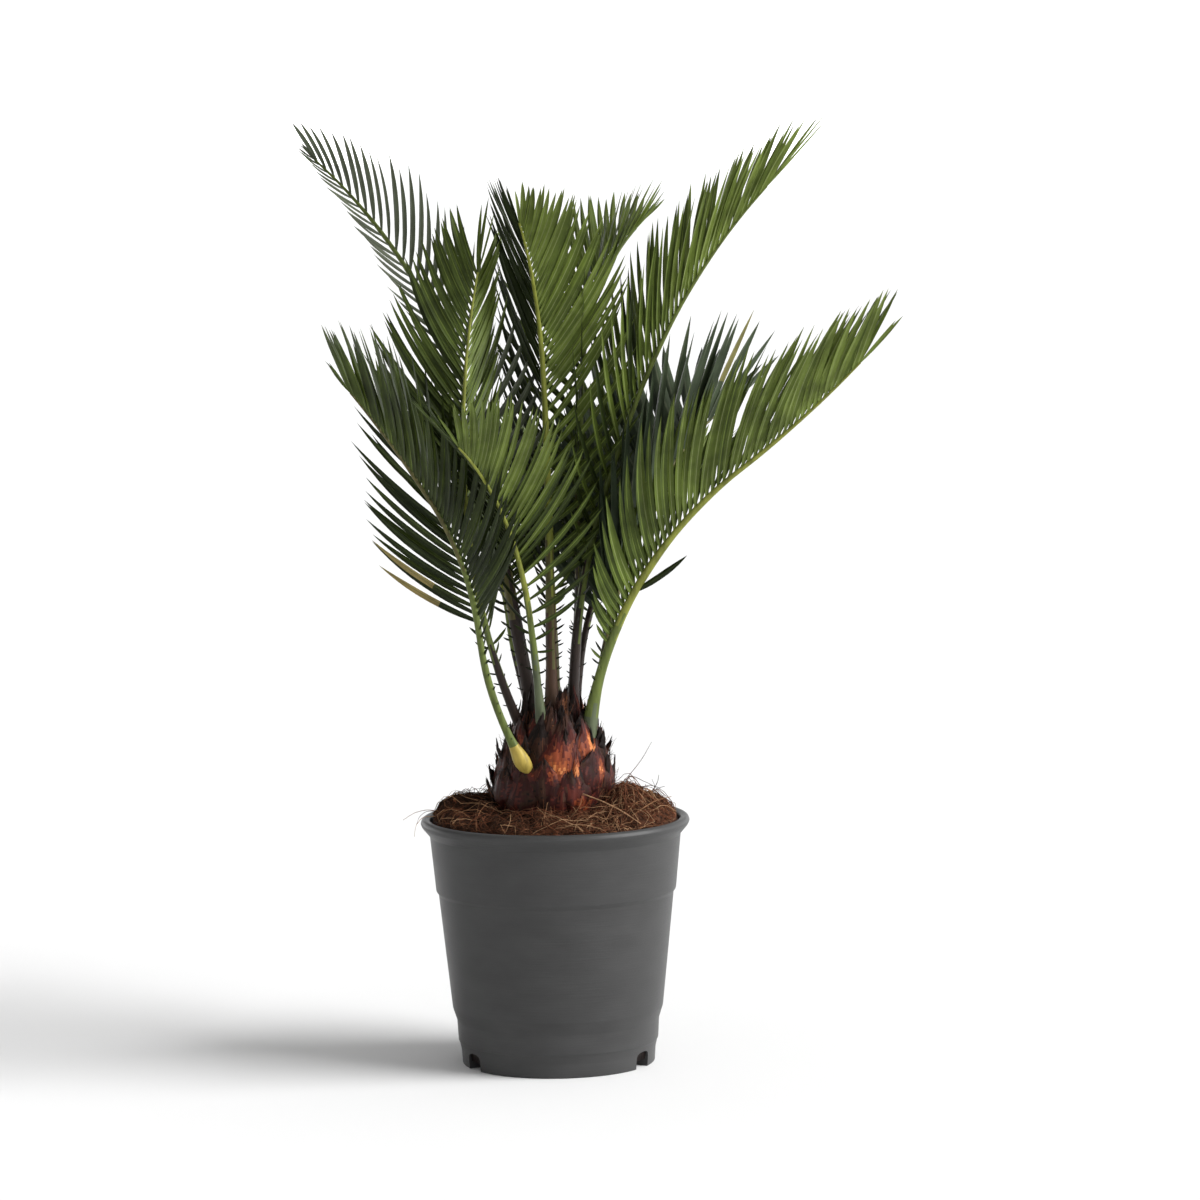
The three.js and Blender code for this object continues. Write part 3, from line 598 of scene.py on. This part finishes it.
def grow_thorns(frond, rib, rng, sheet):
    """The stalk's reduced leaflets: thorns low down, threads and small blades towards the blade."""
    count = int(frond.bare * frond.length / THORN.spacing)
    for index in range(count):
        share = frond.bare * (THORN.start + (1 - THORN.start) * (index + rng.uniform(0, 0.8)) / count)
        level = share / frond.bare
        sign = 1 if index % 2 else -1
        radius = rib_radius(frond, share)
        length = (radius + rng.uniform(THORN.shortest, THORN.longest)
                  + THORN.leafy * level ** THORN.leafy_power * rng.uniform(0.3, 1.0))
        tone = "night" if level < THORN.dark_below else row_of(frond, sign)[1][0]
        angles = (mix(THORN.opening, frond.open[0], level) + THORN.opening_swing * rng.normal(),
                  frond.vee * THORN.lift + THORN.lift_swing * rng.normal())
        width = THORN.width + THORN.leafy_width * level**3
        leaflet(sheet, rng, rib.at(share), sign, radius, (length, width), angles, (tone, tone),
                THORN.stations, THORN.curl)


def grow_frond(frond, number):
    node = "frond_" + frond.name
    rng = np.random.default_rng(FROND_SEED + number)
    rib = Rib(frond)
    rods, leaves = Sheet(), Sheet()
    grow_rib(frond, rib, rng, rods)
    grow_rows(frond, rib, rng, leaves)
    grow_thorns(frond, rib, rng, leaves)
    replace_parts(rods.build(node + "_rib", RIB, "foliage"), node)
    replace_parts(leaves.build(node + "_leaflets", LEAF, "foliage"), node)


for number, (*values, others) in enumerate(FRONDS):
    grow_frond(Sizes(**PLAIN | dict(zip(FROND_KEYS, values)) | others), number)


# ---- pot
def curve(a, b, c, t):
    """A point at t on the curve from a to c that b draws towards itself."""
    return (1 - t) ** 2 * a + 2 * t * (1 - t) * b + t**2 * c


def rounded(profile, radius):
    """A profile with its inner corners rounded."""
    points = [profile[0]]
    for before, corner, after in zip(profile, profile[1:], profile[2:]):
        a, b, c = (np.array(p, float) for p in (before, corner, after))
        reach = min(radius, np.linalg.norm(a - b) * 0.4, np.linalg.norm(c - b) * 0.4)
        first, last = b + unit(a - b) * reach, b + unit(c - b) * reach
        points.extend(tuple(curve(first, b, last, t)) for t in (0, 0.33, 0.67, 1))
    points.append(profile[-1])
    return points


def notch_cutter(heading):
    """An arched prism through the foot's wall at a heading."""
    half, below = NOTCH.width / 2, -NOTCH.below
    springing = NOTCH.height - half / 2
    corners = np.array([(half, springing), (half, NOTCH.height), (0, NOTCH.height), (-half, NOTCH.height),
                        (-half, springing)], float)
    arch = [(-half, below), (half, below), corners[0]]
    for first in (0, 2):
        arch.extend(curve(*corners[first:first + 3], t) for t in (0.33, 0.67, 1))
    angle = radians(heading)
    out, along = outwards(angle), np.array([-sin(angle), cos(angle), 0])
    inner = FOOT_RADIUS + NOTCH.overrun - NOTCH.depth
    rings = [[out * r + along * x + UP * z for x, z in arch] for r in (inner, FOOT_RADIUS + NOTCH.clear)]
    sheet = Sheet()
    sheet.grid(np.array(rings), "black", around=True)
    cap(sheet, rings[0], "black", False)
    cap(sheet, rings[1], "black", True)
    cutter = sheet.build("cutter", BARK, "pot_plastic", smooth=False)
    weld(cutter)
    return cutter


def make_pot(look):
    foot, centre = FOOT_RADIUS - FOOT_RING_WIDTH, 0.01
    underside = [(centre, 0), (FOOT_PAD_RADIUS, 0), (FOOT_PAD_RADIUS + FOOT_RECESS, FOOT_RECESS),
                 (foot - FOOT_RECESS, FOOT_RECESS), (foot, 0), (FOOT_RADIUS, 0)]
    lip = [(RIM_RADIUS - inwards, POT_HEIGHT - down) for inwards, down in LIP_OUTSIDE]
    lip += [(RIM_INNER_RADIUS - inwards, POT_HEIGHT - down) for inwards, down in LIP_INSIDE]
    inside = [(r - WALL, z) for r, z in reversed(POT_WALL)]
    floor = [(FLOOR_RADIUS, FOOT_RECESS + FLOOR), (centre, FOOT_RECESS + FLOOR)]
    profile = rounded(underside + DRESSED_WALL + lip + inside + floor, ROUNDING)
    sheet = Sheet()
    sheet.grid(lathe(profile, POT_SEGMENTS)[:, ::-1], "pot_plastic", around=True)
    pot = sheet.build("pot_shell", {"pot_plastic": look}, "pot_plastic")
    weld(pot, 0.00005)
    for heading in NOTCH.headings:
        cutter = notch_cutter(heading)
        cut = pot.modifiers.new("notch", "BOOLEAN")
        cut.operation = "DIFFERENCE"
        cut.solver = "EXACT"
        cut.object = cutter
        solid = bpy.data.meshes.new_from_object(pot.evaluated_get(bpy.context.evaluated_depsgraph_get()))
        pot.modifiers.clear()
        pot.data = solid
        bpy.data.objects.remove(cutter)
    # the cuts bring their own material slots, so the pot gets its one look back
    pot.data.materials.clear()
    pot.data.materials.append(look)
    pot.data.polygons.foreach_set("material_index", [0] * len(pot.data.polygons))
    pot.data.polygons.foreach_set("use_smooth", [True] * len(pot.data.polygons))
    pot.data.set_sharp_from_angle(angle=radians(32))
    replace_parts(pot, "pot")


make_pot(pot_material())


# ---- soil
def soil_height(radius, angle):
    """The solid soil's height."""
    edge = RIM_INNER_RADIUS - WALL
    way = min(max((radius - SOIL.seat_radius) / (edge - SOIL.seat_radius), 0), 1)
    front = max(0, -sin(angle))
    heap = SOIL.mound * (1 - SOIL.dip * front) * sqrt(sin(pi * way))
    lumps = SOIL.lump * (sin(5 * angle + radius / 6) + sin(8 * angle - radius / 4))
    side = SOIL.tilt * cos(angle)
    return mix(SOIL.seat, SOIL.edge, way) + heap + (lumps + side) * sin(pi * min(1, way + 0.15))


def bed_height(radius, angle):
    """The soil's height with its crumbs and heaps, also where it closes in on the trunk."""
    x, y = radius * cos(angle), radius * sin(angle)
    height = soil_height(max(radius, BED.near), angle)
    if radius < BED.near:
        close = BED.height - BED.tilt * sin(angle)
        height = mix(close, height, max(0, (radius - BED.close) / (BED.near - BED.close)))
    spot = Vector((x / BED.crumb_size, y / BED.crumb_size, 3.1))
    crumbs = BED.crumb * noise.fractal(spot, 1.0, 2.0, 5)
    heaps = sum(tall * exp(-((x - at_x) ** 2 + (y - at_y) ** 2) / wide)
                for at_x, at_y, tall, wide in BANKS)
    fade = min(1, max(0, (RIM_INNER_RADIUS - radius) / BED.margin))
    return height + (crumbs + heaps) * fade


def make_soil():
    """The filling: up the inside of the wall, then over the bed in rings."""
    sheet = Sheet()
    wall = [(FLOOR_RADIUS, FOOT_RECESS + FLOOR + GAP), *((r - WALL - GAP, z) for r, z in POT_WALL)]
    rings = list(lathe([*wall, (SOIL_EDGE_RING, SOIL.edge)], SOIL_SEGMENTS))
    for radius in SOIL_RINGS:
        rings.append([outwards(a) * radius + UP * bed_height(radius, a) for a in turns_of(SOIL_SEGMENTS)])
    # The soil's side low in the pot, seen through the notches, and its underside are painted black as shade.
    tones = ["wet" if index < 4 else "bed" for index in range(len(rings) - 1)]
    sheet.grid(np.array(rings), tones, around=True)
    cap(sheet, rings[-1], "bed", True)
    cap(sheet, rings[0], "wet", False)
    crumbly = grown_material("coir_bed", SOIL_COLOUR, **SOIL_LOOK)
    bed = sheet.build("soil_bed", {"bed": crumbly, "wet": BARK["black"]}, "soil")
    weld(bed)
    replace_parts(bed, "soil")


COIR_MIX = "dark brown brown red red tan straw".split()
# Threads that stand clear of the bed and tufts over the rim: path, radius and tone.
HAIRS = [
    ([(43, 12, 192), (52, 14, 200), (62, 16, 212), (69, 18, 224)], 0.28, "brown"),
    ([(66, 20, 186), (70, 20, 190), (73, 21, 195), (74, 22, 200)], 0.35, "dark"),
    ([(70, 20, 189), (74, 20, 191), (78, 20, 192)], 0.3, "dark"),
    ([(70, 20, 188), (71, 21, 192), (69, 22, 197)], 0.25, "dark"),
    ([(-80, -6, 180), (-90, -8, 182), (-99, -9, 180), (-107, -10, 175)], 0.28, "tan"),
    ([(-84, -14, 178), (-93, -16, 178), (-98, -17, 172), (-99, -18, 164)], 0.25, "straw"),
    ([(-82, -2, 180), (-91, -3, 180), (-96, -3, 176), (-98, -4, 170)], 0.25, "brown"),
    ([(20, -40, 196), (34, -50, 192), (48, -60, 186), (60, -64, 178)], 0.55, "straw"),
    ([(12, -45, 180), (18, -48, 189), (20, -47, 196)], 0.45, "tan"),
    ([(52, -50, 180), (62, -42, 186), (72, -32, 190), (82, -24, 191)], 0.4, "tan"),
]
HAIR_STATIONS = 12


def fibre(sheet, radius, angle, heading, length, thick, arch, curve_by, lift, tone, steps=6):
    """A coir fibre that lies over the bed from a radius and angle, arched and curved."""
    t = np.linspace(0, 1, steps)
    turn = heading + curve_by * (t - 0.5)
    step = length / (steps - 1)
    x = radius * cos(angle) + np.concatenate([[0], np.cumsum(np.cos(turn[:-1]) * step)])
    y = radius * sin(angle) + np.concatenate([[0], np.cumsum(np.sin(turn[:-1]) * step)])
    outside = np.maximum(np.hypot(x, y) / FIBRE_LIMIT, 1)
    x, y = x / outside, y / outside
    ground = [bed_height(min(hypot(a, b), FIBRE_LIMIT), atan2(b, a)) for a, b in zip(x, y)]
    z = np.array(ground) + lift + arch * np.sin(np.pi * t)
    tube(sheet, np.c_[x, y, z], thick * (1 - 0.55 * t), 3, tone)


def make_fibres(rng):
    """Short fibres all over the bed, paler towards the right, then long ones in front, and the hairs."""
    sheet = Sheet()
    for _ in range(SHORT_FIBRES):
        radius = sqrt(rng.uniform(38**2, 85**2))
        angle = rng.uniform(0, 2 * pi)
        pick = int(min(max(rng.normal(2.0 + 1.7 * cos(angle + 0.5), 1.5), 0), 6))
        fibre(sheet, radius, angle, rng.uniform(0, 2 * pi), rng.uniform(8, 30), rng.uniform(0.16, 0.4),
              abs(rng.normal(0, 2.4)), rng.normal(0, 1.4), rng.uniform(-0.3, 0.8), COIR_MIX[pick])
    for _ in range(LONG_FIBRES):
        angle = rng.uniform(-2.9, 0.9)
        radius = rng.uniform(44, 80)
        fibre(sheet, radius, angle, rng.uniform(0, 2 * pi), rng.uniform(30, 64), rng.uniform(0.18, 0.38),
              rng.uniform(2, 9), rng.normal(0, 0.9), 0.6, COIR_MIX[2 + rng.integers(5)], steps=9)
    for path, radius, tone in HAIRS:
        spots = np.array(path, float)
        t = np.linspace(0, len(spots) - 1, HAIR_STATIONS)
        smooth = np.array([np.interp(t, range(len(spots)), spots[:, k]) for k in range(3)]).T
        smooth[1:-1] = (smooth[:-2] + 2 * smooth[1:-1] + smooth[2:]) / 4
        tube(sheet, smooth, radius * np.linspace(1, 0.5, HAIR_STATIONS), 4, tone)
    sheet.build("coir_fibres", COIR, "soil")


def make_crumbs(rng):
    """Small uneven eight-sided lumps of coir on the bed."""
    corners = np.array([(1, 0, 0), (0, 1, 0), (-1, 0, 0), (0, -1, 0), (0, 0, 1), (0, 0, -1)], float)
    faces = [(0, 1, 4), (1, 2, 4), (2, 3, 4), (3, 0, 4), (1, 0, 5), (2, 1, 5), (3, 2, 5), (0, 3, 5)]
    sheet = Sheet()
    for _ in range(CRUMBS):
        radius = sqrt(rng.uniform(42**2, 85**2))
        angle = rng.uniform(0, 2 * pi)
        size = rng.uniform(0.7, 2.4) * np.array([1, rng.uniform(0.5, 1), rng.uniform(0.3, 0.7)])
        spin = Matrix.Rotation(rng.uniform(0, 6.28), 3, "Z") @ Matrix.Rotation(rng.normal(0, 0.4), 3, "X")
        shape = corners * size * rng.uniform(0.7, 1.3, (6, 1))
        spot = outwards(angle) * radius + UP * (bed_height(radius, angle) + 0.4)
        sheet.faces_of(shape @ np.array(spin).T + spot, faces, COIR_MIX[rng.integers(6)])
    sheet.build("coir_crumbs", COIR, "soil", smooth=False)


make_soil()
coir_rng = np.random.default_rng(7)
make_fibres(coir_rng)
make_crumbs(coir_rng)


# ---- trunk
# Warm patches on the stem, partly the leaf bases' own orange and partly painted highlight: degrees round
# it, height, half-width in degrees, half-height and strength.
ORANGE_AND_HIGHLIGHTS = [
    (-85, 211, 12, 6, 0.34), (-97, 219, 16, 11, 0.14), (-43, 227, 9, 11, 0.42),
    (-37, 212, 6, 8, 0.4), (-66, 209, 3, 10, 0.34), (-54, 190, 13, 12, 0.2),
    (-131, 199, 16, 10, 0.14), (-113, 206, 9, 10, 0.24), (-70, 226, 12, 10, 0.2),
    (70, 204, 22, 12, 0.42), (148, 200, 18, 13, 0.38), (14, 214, 14, 11, 0.36),
    (112, 226, 12, 9, 0.34),
]
# The value that each kind of scale starts from, and the tones that values from 0 to 1 give.
DEPTH = {"black": 0.05, "dark": 0.23, "maroon": 0.36, "rust": 0.5, "fibre": 0.38}
# The top rungs, ember and amber, are reached mostly where the painted highlights add to the value.
BARK_LADDER = "black umber wine maroon rust ember amber".split()
FIBRE_LADDER = "black umber umber fibre fibre rust ember".split()
# How strongly blotches, a scale's edges and its dry tip change the value.
SHADING = Sizes(blotch=0.26, edge=0.14, tip=0.3, tip_from=0.72, tip_length=0.28)
# How much of their overshoot points keep that stand out of the stem's outline.
OVERSHOOT = 0.42
# A scale's grid, how it widens and tapers, its relief, how it curves round the stem, and how its tip
# is torn.
SCALE = Sizes(rows=24, columns=19, foot=0.72, widening=0.9, taper_from=0.38, taper_power=1.7, ridge=0.22,
              ridge_height=0.9, grain_height=0.7, curve=66, torn=0.16, sunk=3.5, black_sunk=-0.5)
BROAD_SCALES = 34
CROWN_SCALES = 54
WOOL_HAIRS = 1100
# Leaf bases of the sides that are lit: degrees round the stem, height, length, width, swell, flare,
# kind and the share of the width left at the top.
LIT_SCALES = [
    (-152, 182, 30, 34, 8, 4, "maroon", 0.15),
    (-124, 178, 36, 44, 10, 8, "maroon", 0.3),
    (-88, 177, 32, 42, 8, 9, "maroon", 0.35),
    (-54, 177, 42, 32, 6, 4, "maroon", 0.2),
    (-20, 182, 38, 28, 6, 1, "fibre", 0.15),
    (-91, 195, 50, 36, 7, 1, "rust", 0.22),
    (-66, 192, 34, 14, 6, 5, "rust", 0.08),
    (-43, 204, 40, 25, 5, 0, "rust", 0.25),
    (-26, 208, 34, 14, 4, 0, "maroon", 0.05),
    (-14, 190, 34, 24, 4, -6, "dark", 0.15),
    (-116, 204, 40, 28, 5, 2, "dark", 0.2),
    (-68, 212, 38, 18, 4, 0, "rust", 0.1),
    (-110, 222, 32, 18, 4, 0, "fibre", 0.1),
    (-150, 206, 30, 24, 5, -4, "dark", 0.2),
]
# Dry spikes and stubs that stand clear of the stem: degrees round it, height, length, width, flare
# and the share of the width left at the top.
SPIKES = [
    (180, 214, 17, 6, 20, 0.02), (174, 190, 22, 13, 14, 0.5), (186, 184, 20, 11, 20, 0.3),
    (-20, 200, 25, 7, 6, 0.02), (-24, 222, 22, 6, 8, 0.02), (-6, 190, 27, 7, 5, 0.7),
    (-84, 236, 22, 7, 0, 0.02), (30, 205, 24, 7, 20, 0.02), (62, 212, 24, 7, 18, 0.02),
    (100, 206, 24, 8, 22, 0.02), (130, 216, 22, 7, 16, 0.1), (150, 196, 22, 9, 22, 0.3),
    (-165, 212, 22, 6, 18, 0.02), (80, 190, 22, 9, 20, 0.4),
]


def core_radius(height):
    return float(np.interp(height, *zip(*TRUNK_CORE)))


def lean_trunk(points):
    points = np.array(points, float)
    points[..., 0] += TRUNK_START + TRUNK_LEAN * (points[..., 2] - TRUNK_CORE[0][0])
    return points


def within_outline(points):
    """Draws points that stand far out of the stem back towards its outline."""
    reach = np.hypot(points[..., 0], points[..., 1])
    limit = np.interp(points[..., 2], *zip(*TRUNK_OUTLINE))
    share = np.where(reach > limit, (limit + OVERSHOOT * (reach - limit)) / reach, 1)
    points[..., :2] *= share[..., None]
    return points


# How much orange and painted highlight the warm patches give a point on the stem.
def orange_and_highlight_at(place):
    heading, height = np.degrees(atan2(place[1], place[0])), place[2]
    glow = 0
    for centre, level, wide, tall, strength in ORANGE_AND_HIGHLIGHTS:
        turn = (heading - centre + 180) % 360 - 180
        glow += strength * exp(-((turn / wide) ** 2) - ((height - level) / tall) ** 2)
    return glow


def scale_tone(kind, a, b, blotch, place):
    """The tone of a scale at a share of its height and of its half-width, and at its place on the stem, where
    the warm patches add their orange and painted highlight.
    """
    # glow is the warm patches' orange and painted highlight; black scales get none.
    glow = 0 if kind == "black" else orange_and_highlight_at(place)
    value = DEPTH[kind] + glow + SHADING.blotch * blotch - SHADING.edge * b * b
    value -= SHADING.tip * max(0, a - SHADING.tip_from) / SHADING.tip_length
    ladder = FIBRE_LADDER if kind == "fibre" else BARK_LADDER
    return ladder[int(min(max(value, 0), 0.999) * len(ladder))]


def trunk_scale(sheet, rng, height, degrees, length, width, thick, flare, kind, tip=0.04, ragged=0.25):
    """One leaf base: a broad shield that swells from the core, ridged along its length, with an uneven
    outline. tip is the share of its width that is left at its top, as on a leaf base cut short."""
    angle, tilt, slant = radians(degrees), radians(flare), rng.normal(0, 0.1)
    out, along = outwards(angle), np.array([-sin(angle), cos(angle), 0])
    up = UP * cos(tilt) + out * sin(tilt) + along * slant
    face = out * cos(tilt) - UP * sin(tilt)
    sunk = SCALE.black_sunk if kind == "black" else SCALE.sunk
    foot = out * (core_radius(height) - sunk) + UP * height
    rows, columns = np.linspace(0, 1, SCALE.rows), np.linspace(-1, 1, SCALE.columns)
    taper = np.clip((rows - SCALE.taper_from) / (1 - SCALE.taper_from), 0, 1) ** SCALE.taper_power
    shape = np.minimum(1, SCALE.foot + rows * SCALE.widening) * (1 - (1 - tip) * taper)
    phase = rng.uniform(0, 90)
    grid = np.zeros((len(rows), len(columns), 3))
    for i, a in enumerate(rows):
        for k, b in enumerate(columns):
            rough = 1 + ragged * noise.noise(Vector((a * 7, 3 * (b > 0) + phase, 0.5)))
            edge = b * width / 2 * shape[i] * rough
            ridge = noise.noise(Vector((edge * 0.34 + phase, a * 1.3, phase)))
            fine = noise.noise(Vector((edge * 0.95, a * 3 + phase, phase)))
            swell = sin(pi * min(1, 0.2 + a * 0.72)) * (1 - 0.9 * b * b)
            rise = (thick * swell + SCALE.ridge * thick * ridge + SCALE.ridge_height * ridge
                    + SCALE.grain_height * fine)
            torn = 1 + SCALE.torn * a * a * noise.noise(Vector((b * 4.5 + phase, 0.3, phase)))
            rise -= edge * edge / SCALE.curve
            grid[i, k] = foot + up * (a * length * torn) + along * edge + face * rise
    tones = []
    for i, a in enumerate(rows[:-1]):
        row = []
        for k, b in enumerate(columns[:-1]):
            blotch = noise.noise(Vector((b * 1.6 + phase, a * 2.6, 7.7)))
            blotch += 0.6 * noise.noise(Vector((b * 7 + phase, a * 2, 1.7))) + 0.14 * rng.normal()
            row.append(scale_tone(kind, a, b, blotch, grid[i, k]))
        tones.append(row)
    if kind != "black":
        grid = within_outline(grid)
    sheet.grid(lean_trunk(grid), tones)


def make_core():
    """The dark stem under the scales."""
    core = Sheet()
    top_height, top_radius = TRUNK_CORE[-1]
    end_height, end_radius = TRUNK_TOP
    rings = []
    for height in np.linspace(TRUNK_CORE[0][0], end_height, 46):
        radius = core_radius(height)
        if height >= top_height:
            radius = mix(top_radius, end_radius, (height - top_height) / (end_height - top_height))
        ring = []
        for a in turns_of(72):
            rough = noise.fractal(Vector((3 * cos(a), 3 * sin(a), height / 14)), 1.0, 2.0, 4)
            ring.append(outwards(a) * (radius - 1 + 1.8 * rough) + UP * height)
        rings.append(ring)
    core.grid(lean_trunk(rings), "black", around=True)
    cap(core, lean_trunk(rings[-1]), "black", True)
    cap(core, lean_trunk(rings[0]), "black", False)
    stem = core.build("trunk_core", BARK, "bark")
    weld(stem)
    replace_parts(stem, "trunk")


def make_scales(rng):
    """Broad leaf bases from the ground to the crown, those of the lit sides, narrow fibrous ones that
    sheathe the stalks, and the spikes."""
    scales = Sheet()
    for index in range(BROAD_SCALES):
        level = (index + 0.5) / BROAD_SCALES
        kinds = ("maroon", "maroon", "dark") if level < 0.45 else ("rust", "maroon", "dark", "fibre")
        kind = kinds[rng.integers(len(kinds))]
        length = mix(30, 27, level) * rng.uniform(0.9, 1.15)
        width = mix(34, 22, level) * rng.uniform(0.85, 1.15)
        flare = mix(13, -5, level) + 5 * rng.normal()
        tip = 0.3 if rng.uniform() < 0.4 else 0.06
        trunk_scale(scales, rng, mix(178, 226, level**0.9), index * GOLDEN_ANGLE + 20, length, width,
                    mix(8, 4, level), flare, kind, tip)
    for degrees, height, length, width, thick, flare, kind, tip in LIT_SCALES:
        trunk_scale(scales, rng, height, degrees, length, width, thick, flare, kind, tip)
    for index in range(CROWN_SCALES):
        level = (index + 0.5) / CROWN_SCALES
        kind = ("black", "fibre", "dark", "black", "rust")[rng.integers(5)]
        length, width = rng.uniform(20, 32), rng.uniform(5, 11)
        flare = mix(2, -4, level) + 5 * rng.normal()
        trunk_scale(scales, rng, mix(214, 242, level), index * GOLDEN_ANGLE * 1.7, length, width, 2.2, flare,
                    kind, ragged=0.6)
    for degrees, height, length, width, flare, tip in SPIKES:
        trunk_scale(scales, rng, height, degrees, length, width, 1.6, flare, "black", tip, ragged=0.7)
    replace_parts(scales.build("trunk_scales", BARK, "bark"), "trunk")


def make_wool(rng):
    """Woolly fibres between the scales."""
    wool = Sheet()
    for _ in range(WOOL_HAIRS):
        height = rng.uniform(178, 250)
        angle = rng.uniform(0, 2 * pi)
        tilt = radians(rng.uniform(-12, 22))
        out = outwards(angle)
        start = out * (core_radius(height) + mix(4, 1, (height - 182) / 66)) + UP * height
        way = unit(out * sin(tilt) + UP * cos(tilt) + rng.normal(0, 0.25, 3))
        t = np.linspace(0, 1, 5)[:, None]
        path = start + way * rng.uniform(4, 14) * t + rng.normal(0, 1, 3) * t**2 * 2
        tone = ("brown", "dark", "red", "dark")[rng.integers(4)]
        tube(wool, lean_trunk(path), 0.24 * (1 - 0.6 * t[:, 0]), 3, tone)
    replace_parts(wool.build("trunk_wool", COIR, "bark"), "trunk")


make_core()
trunk_rng = np.random.default_rng(21)
make_scales(trunk_rng)
make_wool(trunk_rng)


# ---- floor, light and camera, in metres
STAGE = Sizes(radius=30.0, sides=96, floor=-0.0001, top=6.5, floor_white=0.81, wall_white=0.8)
# The wall's stretches: their glow, and the headings between which they stand.
WALL_STRETCHES = [
    ("backdrop_white", 1.05, 60, 140),
    ("side_dim", 0.35, 140, 285),
    ("side_bright", 1.35, 285, 420),
]
SKY = Sizes(left=0.14, right=0.86)
KEY = Sizes(strength=5.2, softness=44, elevation=27, heading=-16)
CAMERA = Sizes(place=(0.034, -3.6, 0.712), pitch=6.093, roll=0.85, lens=154.5, sensor=36, reach=200)


def stage_material(name, white, glow=0.0):
    made = material(name, (white, white, white), roughness=1.0, specular=0.0)
    set_inputs(shader_of(made), Emission_Color=(1, 1, 1, 1), Emission_Strength=glow)
    return made


def make_stage():
    sides = STAGE.sides
    ring, top = lathe([(STAGE.radius, STAGE.floor), (STAGE.radius, STAGE.top)], sides).tolist()
    look = stage_material("floor_white", STAGE.floor_white)
    mesh_piece("floor", ring, [tuple(range(sides))], [look])
    faces = [(k, (k + 1) % sides, sides + (k + 1) % sides, sides + k) for k in range(sides)]
    looks = [stage_material(name, STAGE.wall_white, glow) for name, glow, _, _ in WALL_STRETCHES]
    wall = mesh_piece("backdrop", ring + top, faces, looks)
    for k, face in enumerate(wall.data.polygons):
        heading = (k + 0.5) * 360 / sides
        for index, (_, _, start, end) in enumerate(WALL_STRETCHES):
            if start < heading < end or start < heading + 360 < end:
                face.material_index = index


def make_light():
    """A sky that brightens from left to right, and one soft key light from the right."""
    world = bpy.data.worlds.new("studio")
    bpy.context.scene.world = world
    world.use_nodes = True
    nodes, links = world.node_tree.nodes, world.node_tree.links
    sky = nodes["Background"]
    set_inputs(sky, Color=(1, 1, 1, 1))
    place = nodes.new("ShaderNodeTexCoord")
    axes = nodes.new("ShaderNodeSeparateXYZ")
    level = nodes.new("ShaderNodeMapRange")
    set_inputs(level, From_Min=-1, To_Min=SKY.left, To_Max=SKY.right)
    links.new(place.outputs["Generated"], axes.inputs["Vector"])
    links.new(axes.outputs["X"], level.inputs["Value"])
    links.new(level.outputs["Result"], sky.inputs["Strength"])
    lamp = bpy.data.lights.new("key", "SUN")
    lamp.energy = KEY.strength
    lamp.angle = radians(KEY.softness)
    key = place_object("key", lamp)
    key.rotation_euler = (radians(90 - KEY.elevation), 0, radians(90 + KEY.heading))


def make_camera():
    """A long lens in front of the plant, a little above it and turned by under a degree."""
    data = bpy.data.cameras.new("camera")
    data.sensor_width = CAMERA.sensor
    data.lens = CAMERA.lens
    data.clip_end = CAMERA.reach
    camera = place_object("camera", data)
    turned = (Matrix.Rotation(radians(90 - CAMERA.pitch), 4, "X")
              @ Matrix.Rotation(radians(-CAMERA.roll), 4, "Z"))
    camera.matrix_world = Matrix.Translation(CAMERA.place) @ turned
    bpy.context.scene.camera = camera


make_stage()
make_light()
make_camera()
bpy.context.scene.view_settings.view_transform = "Standard"
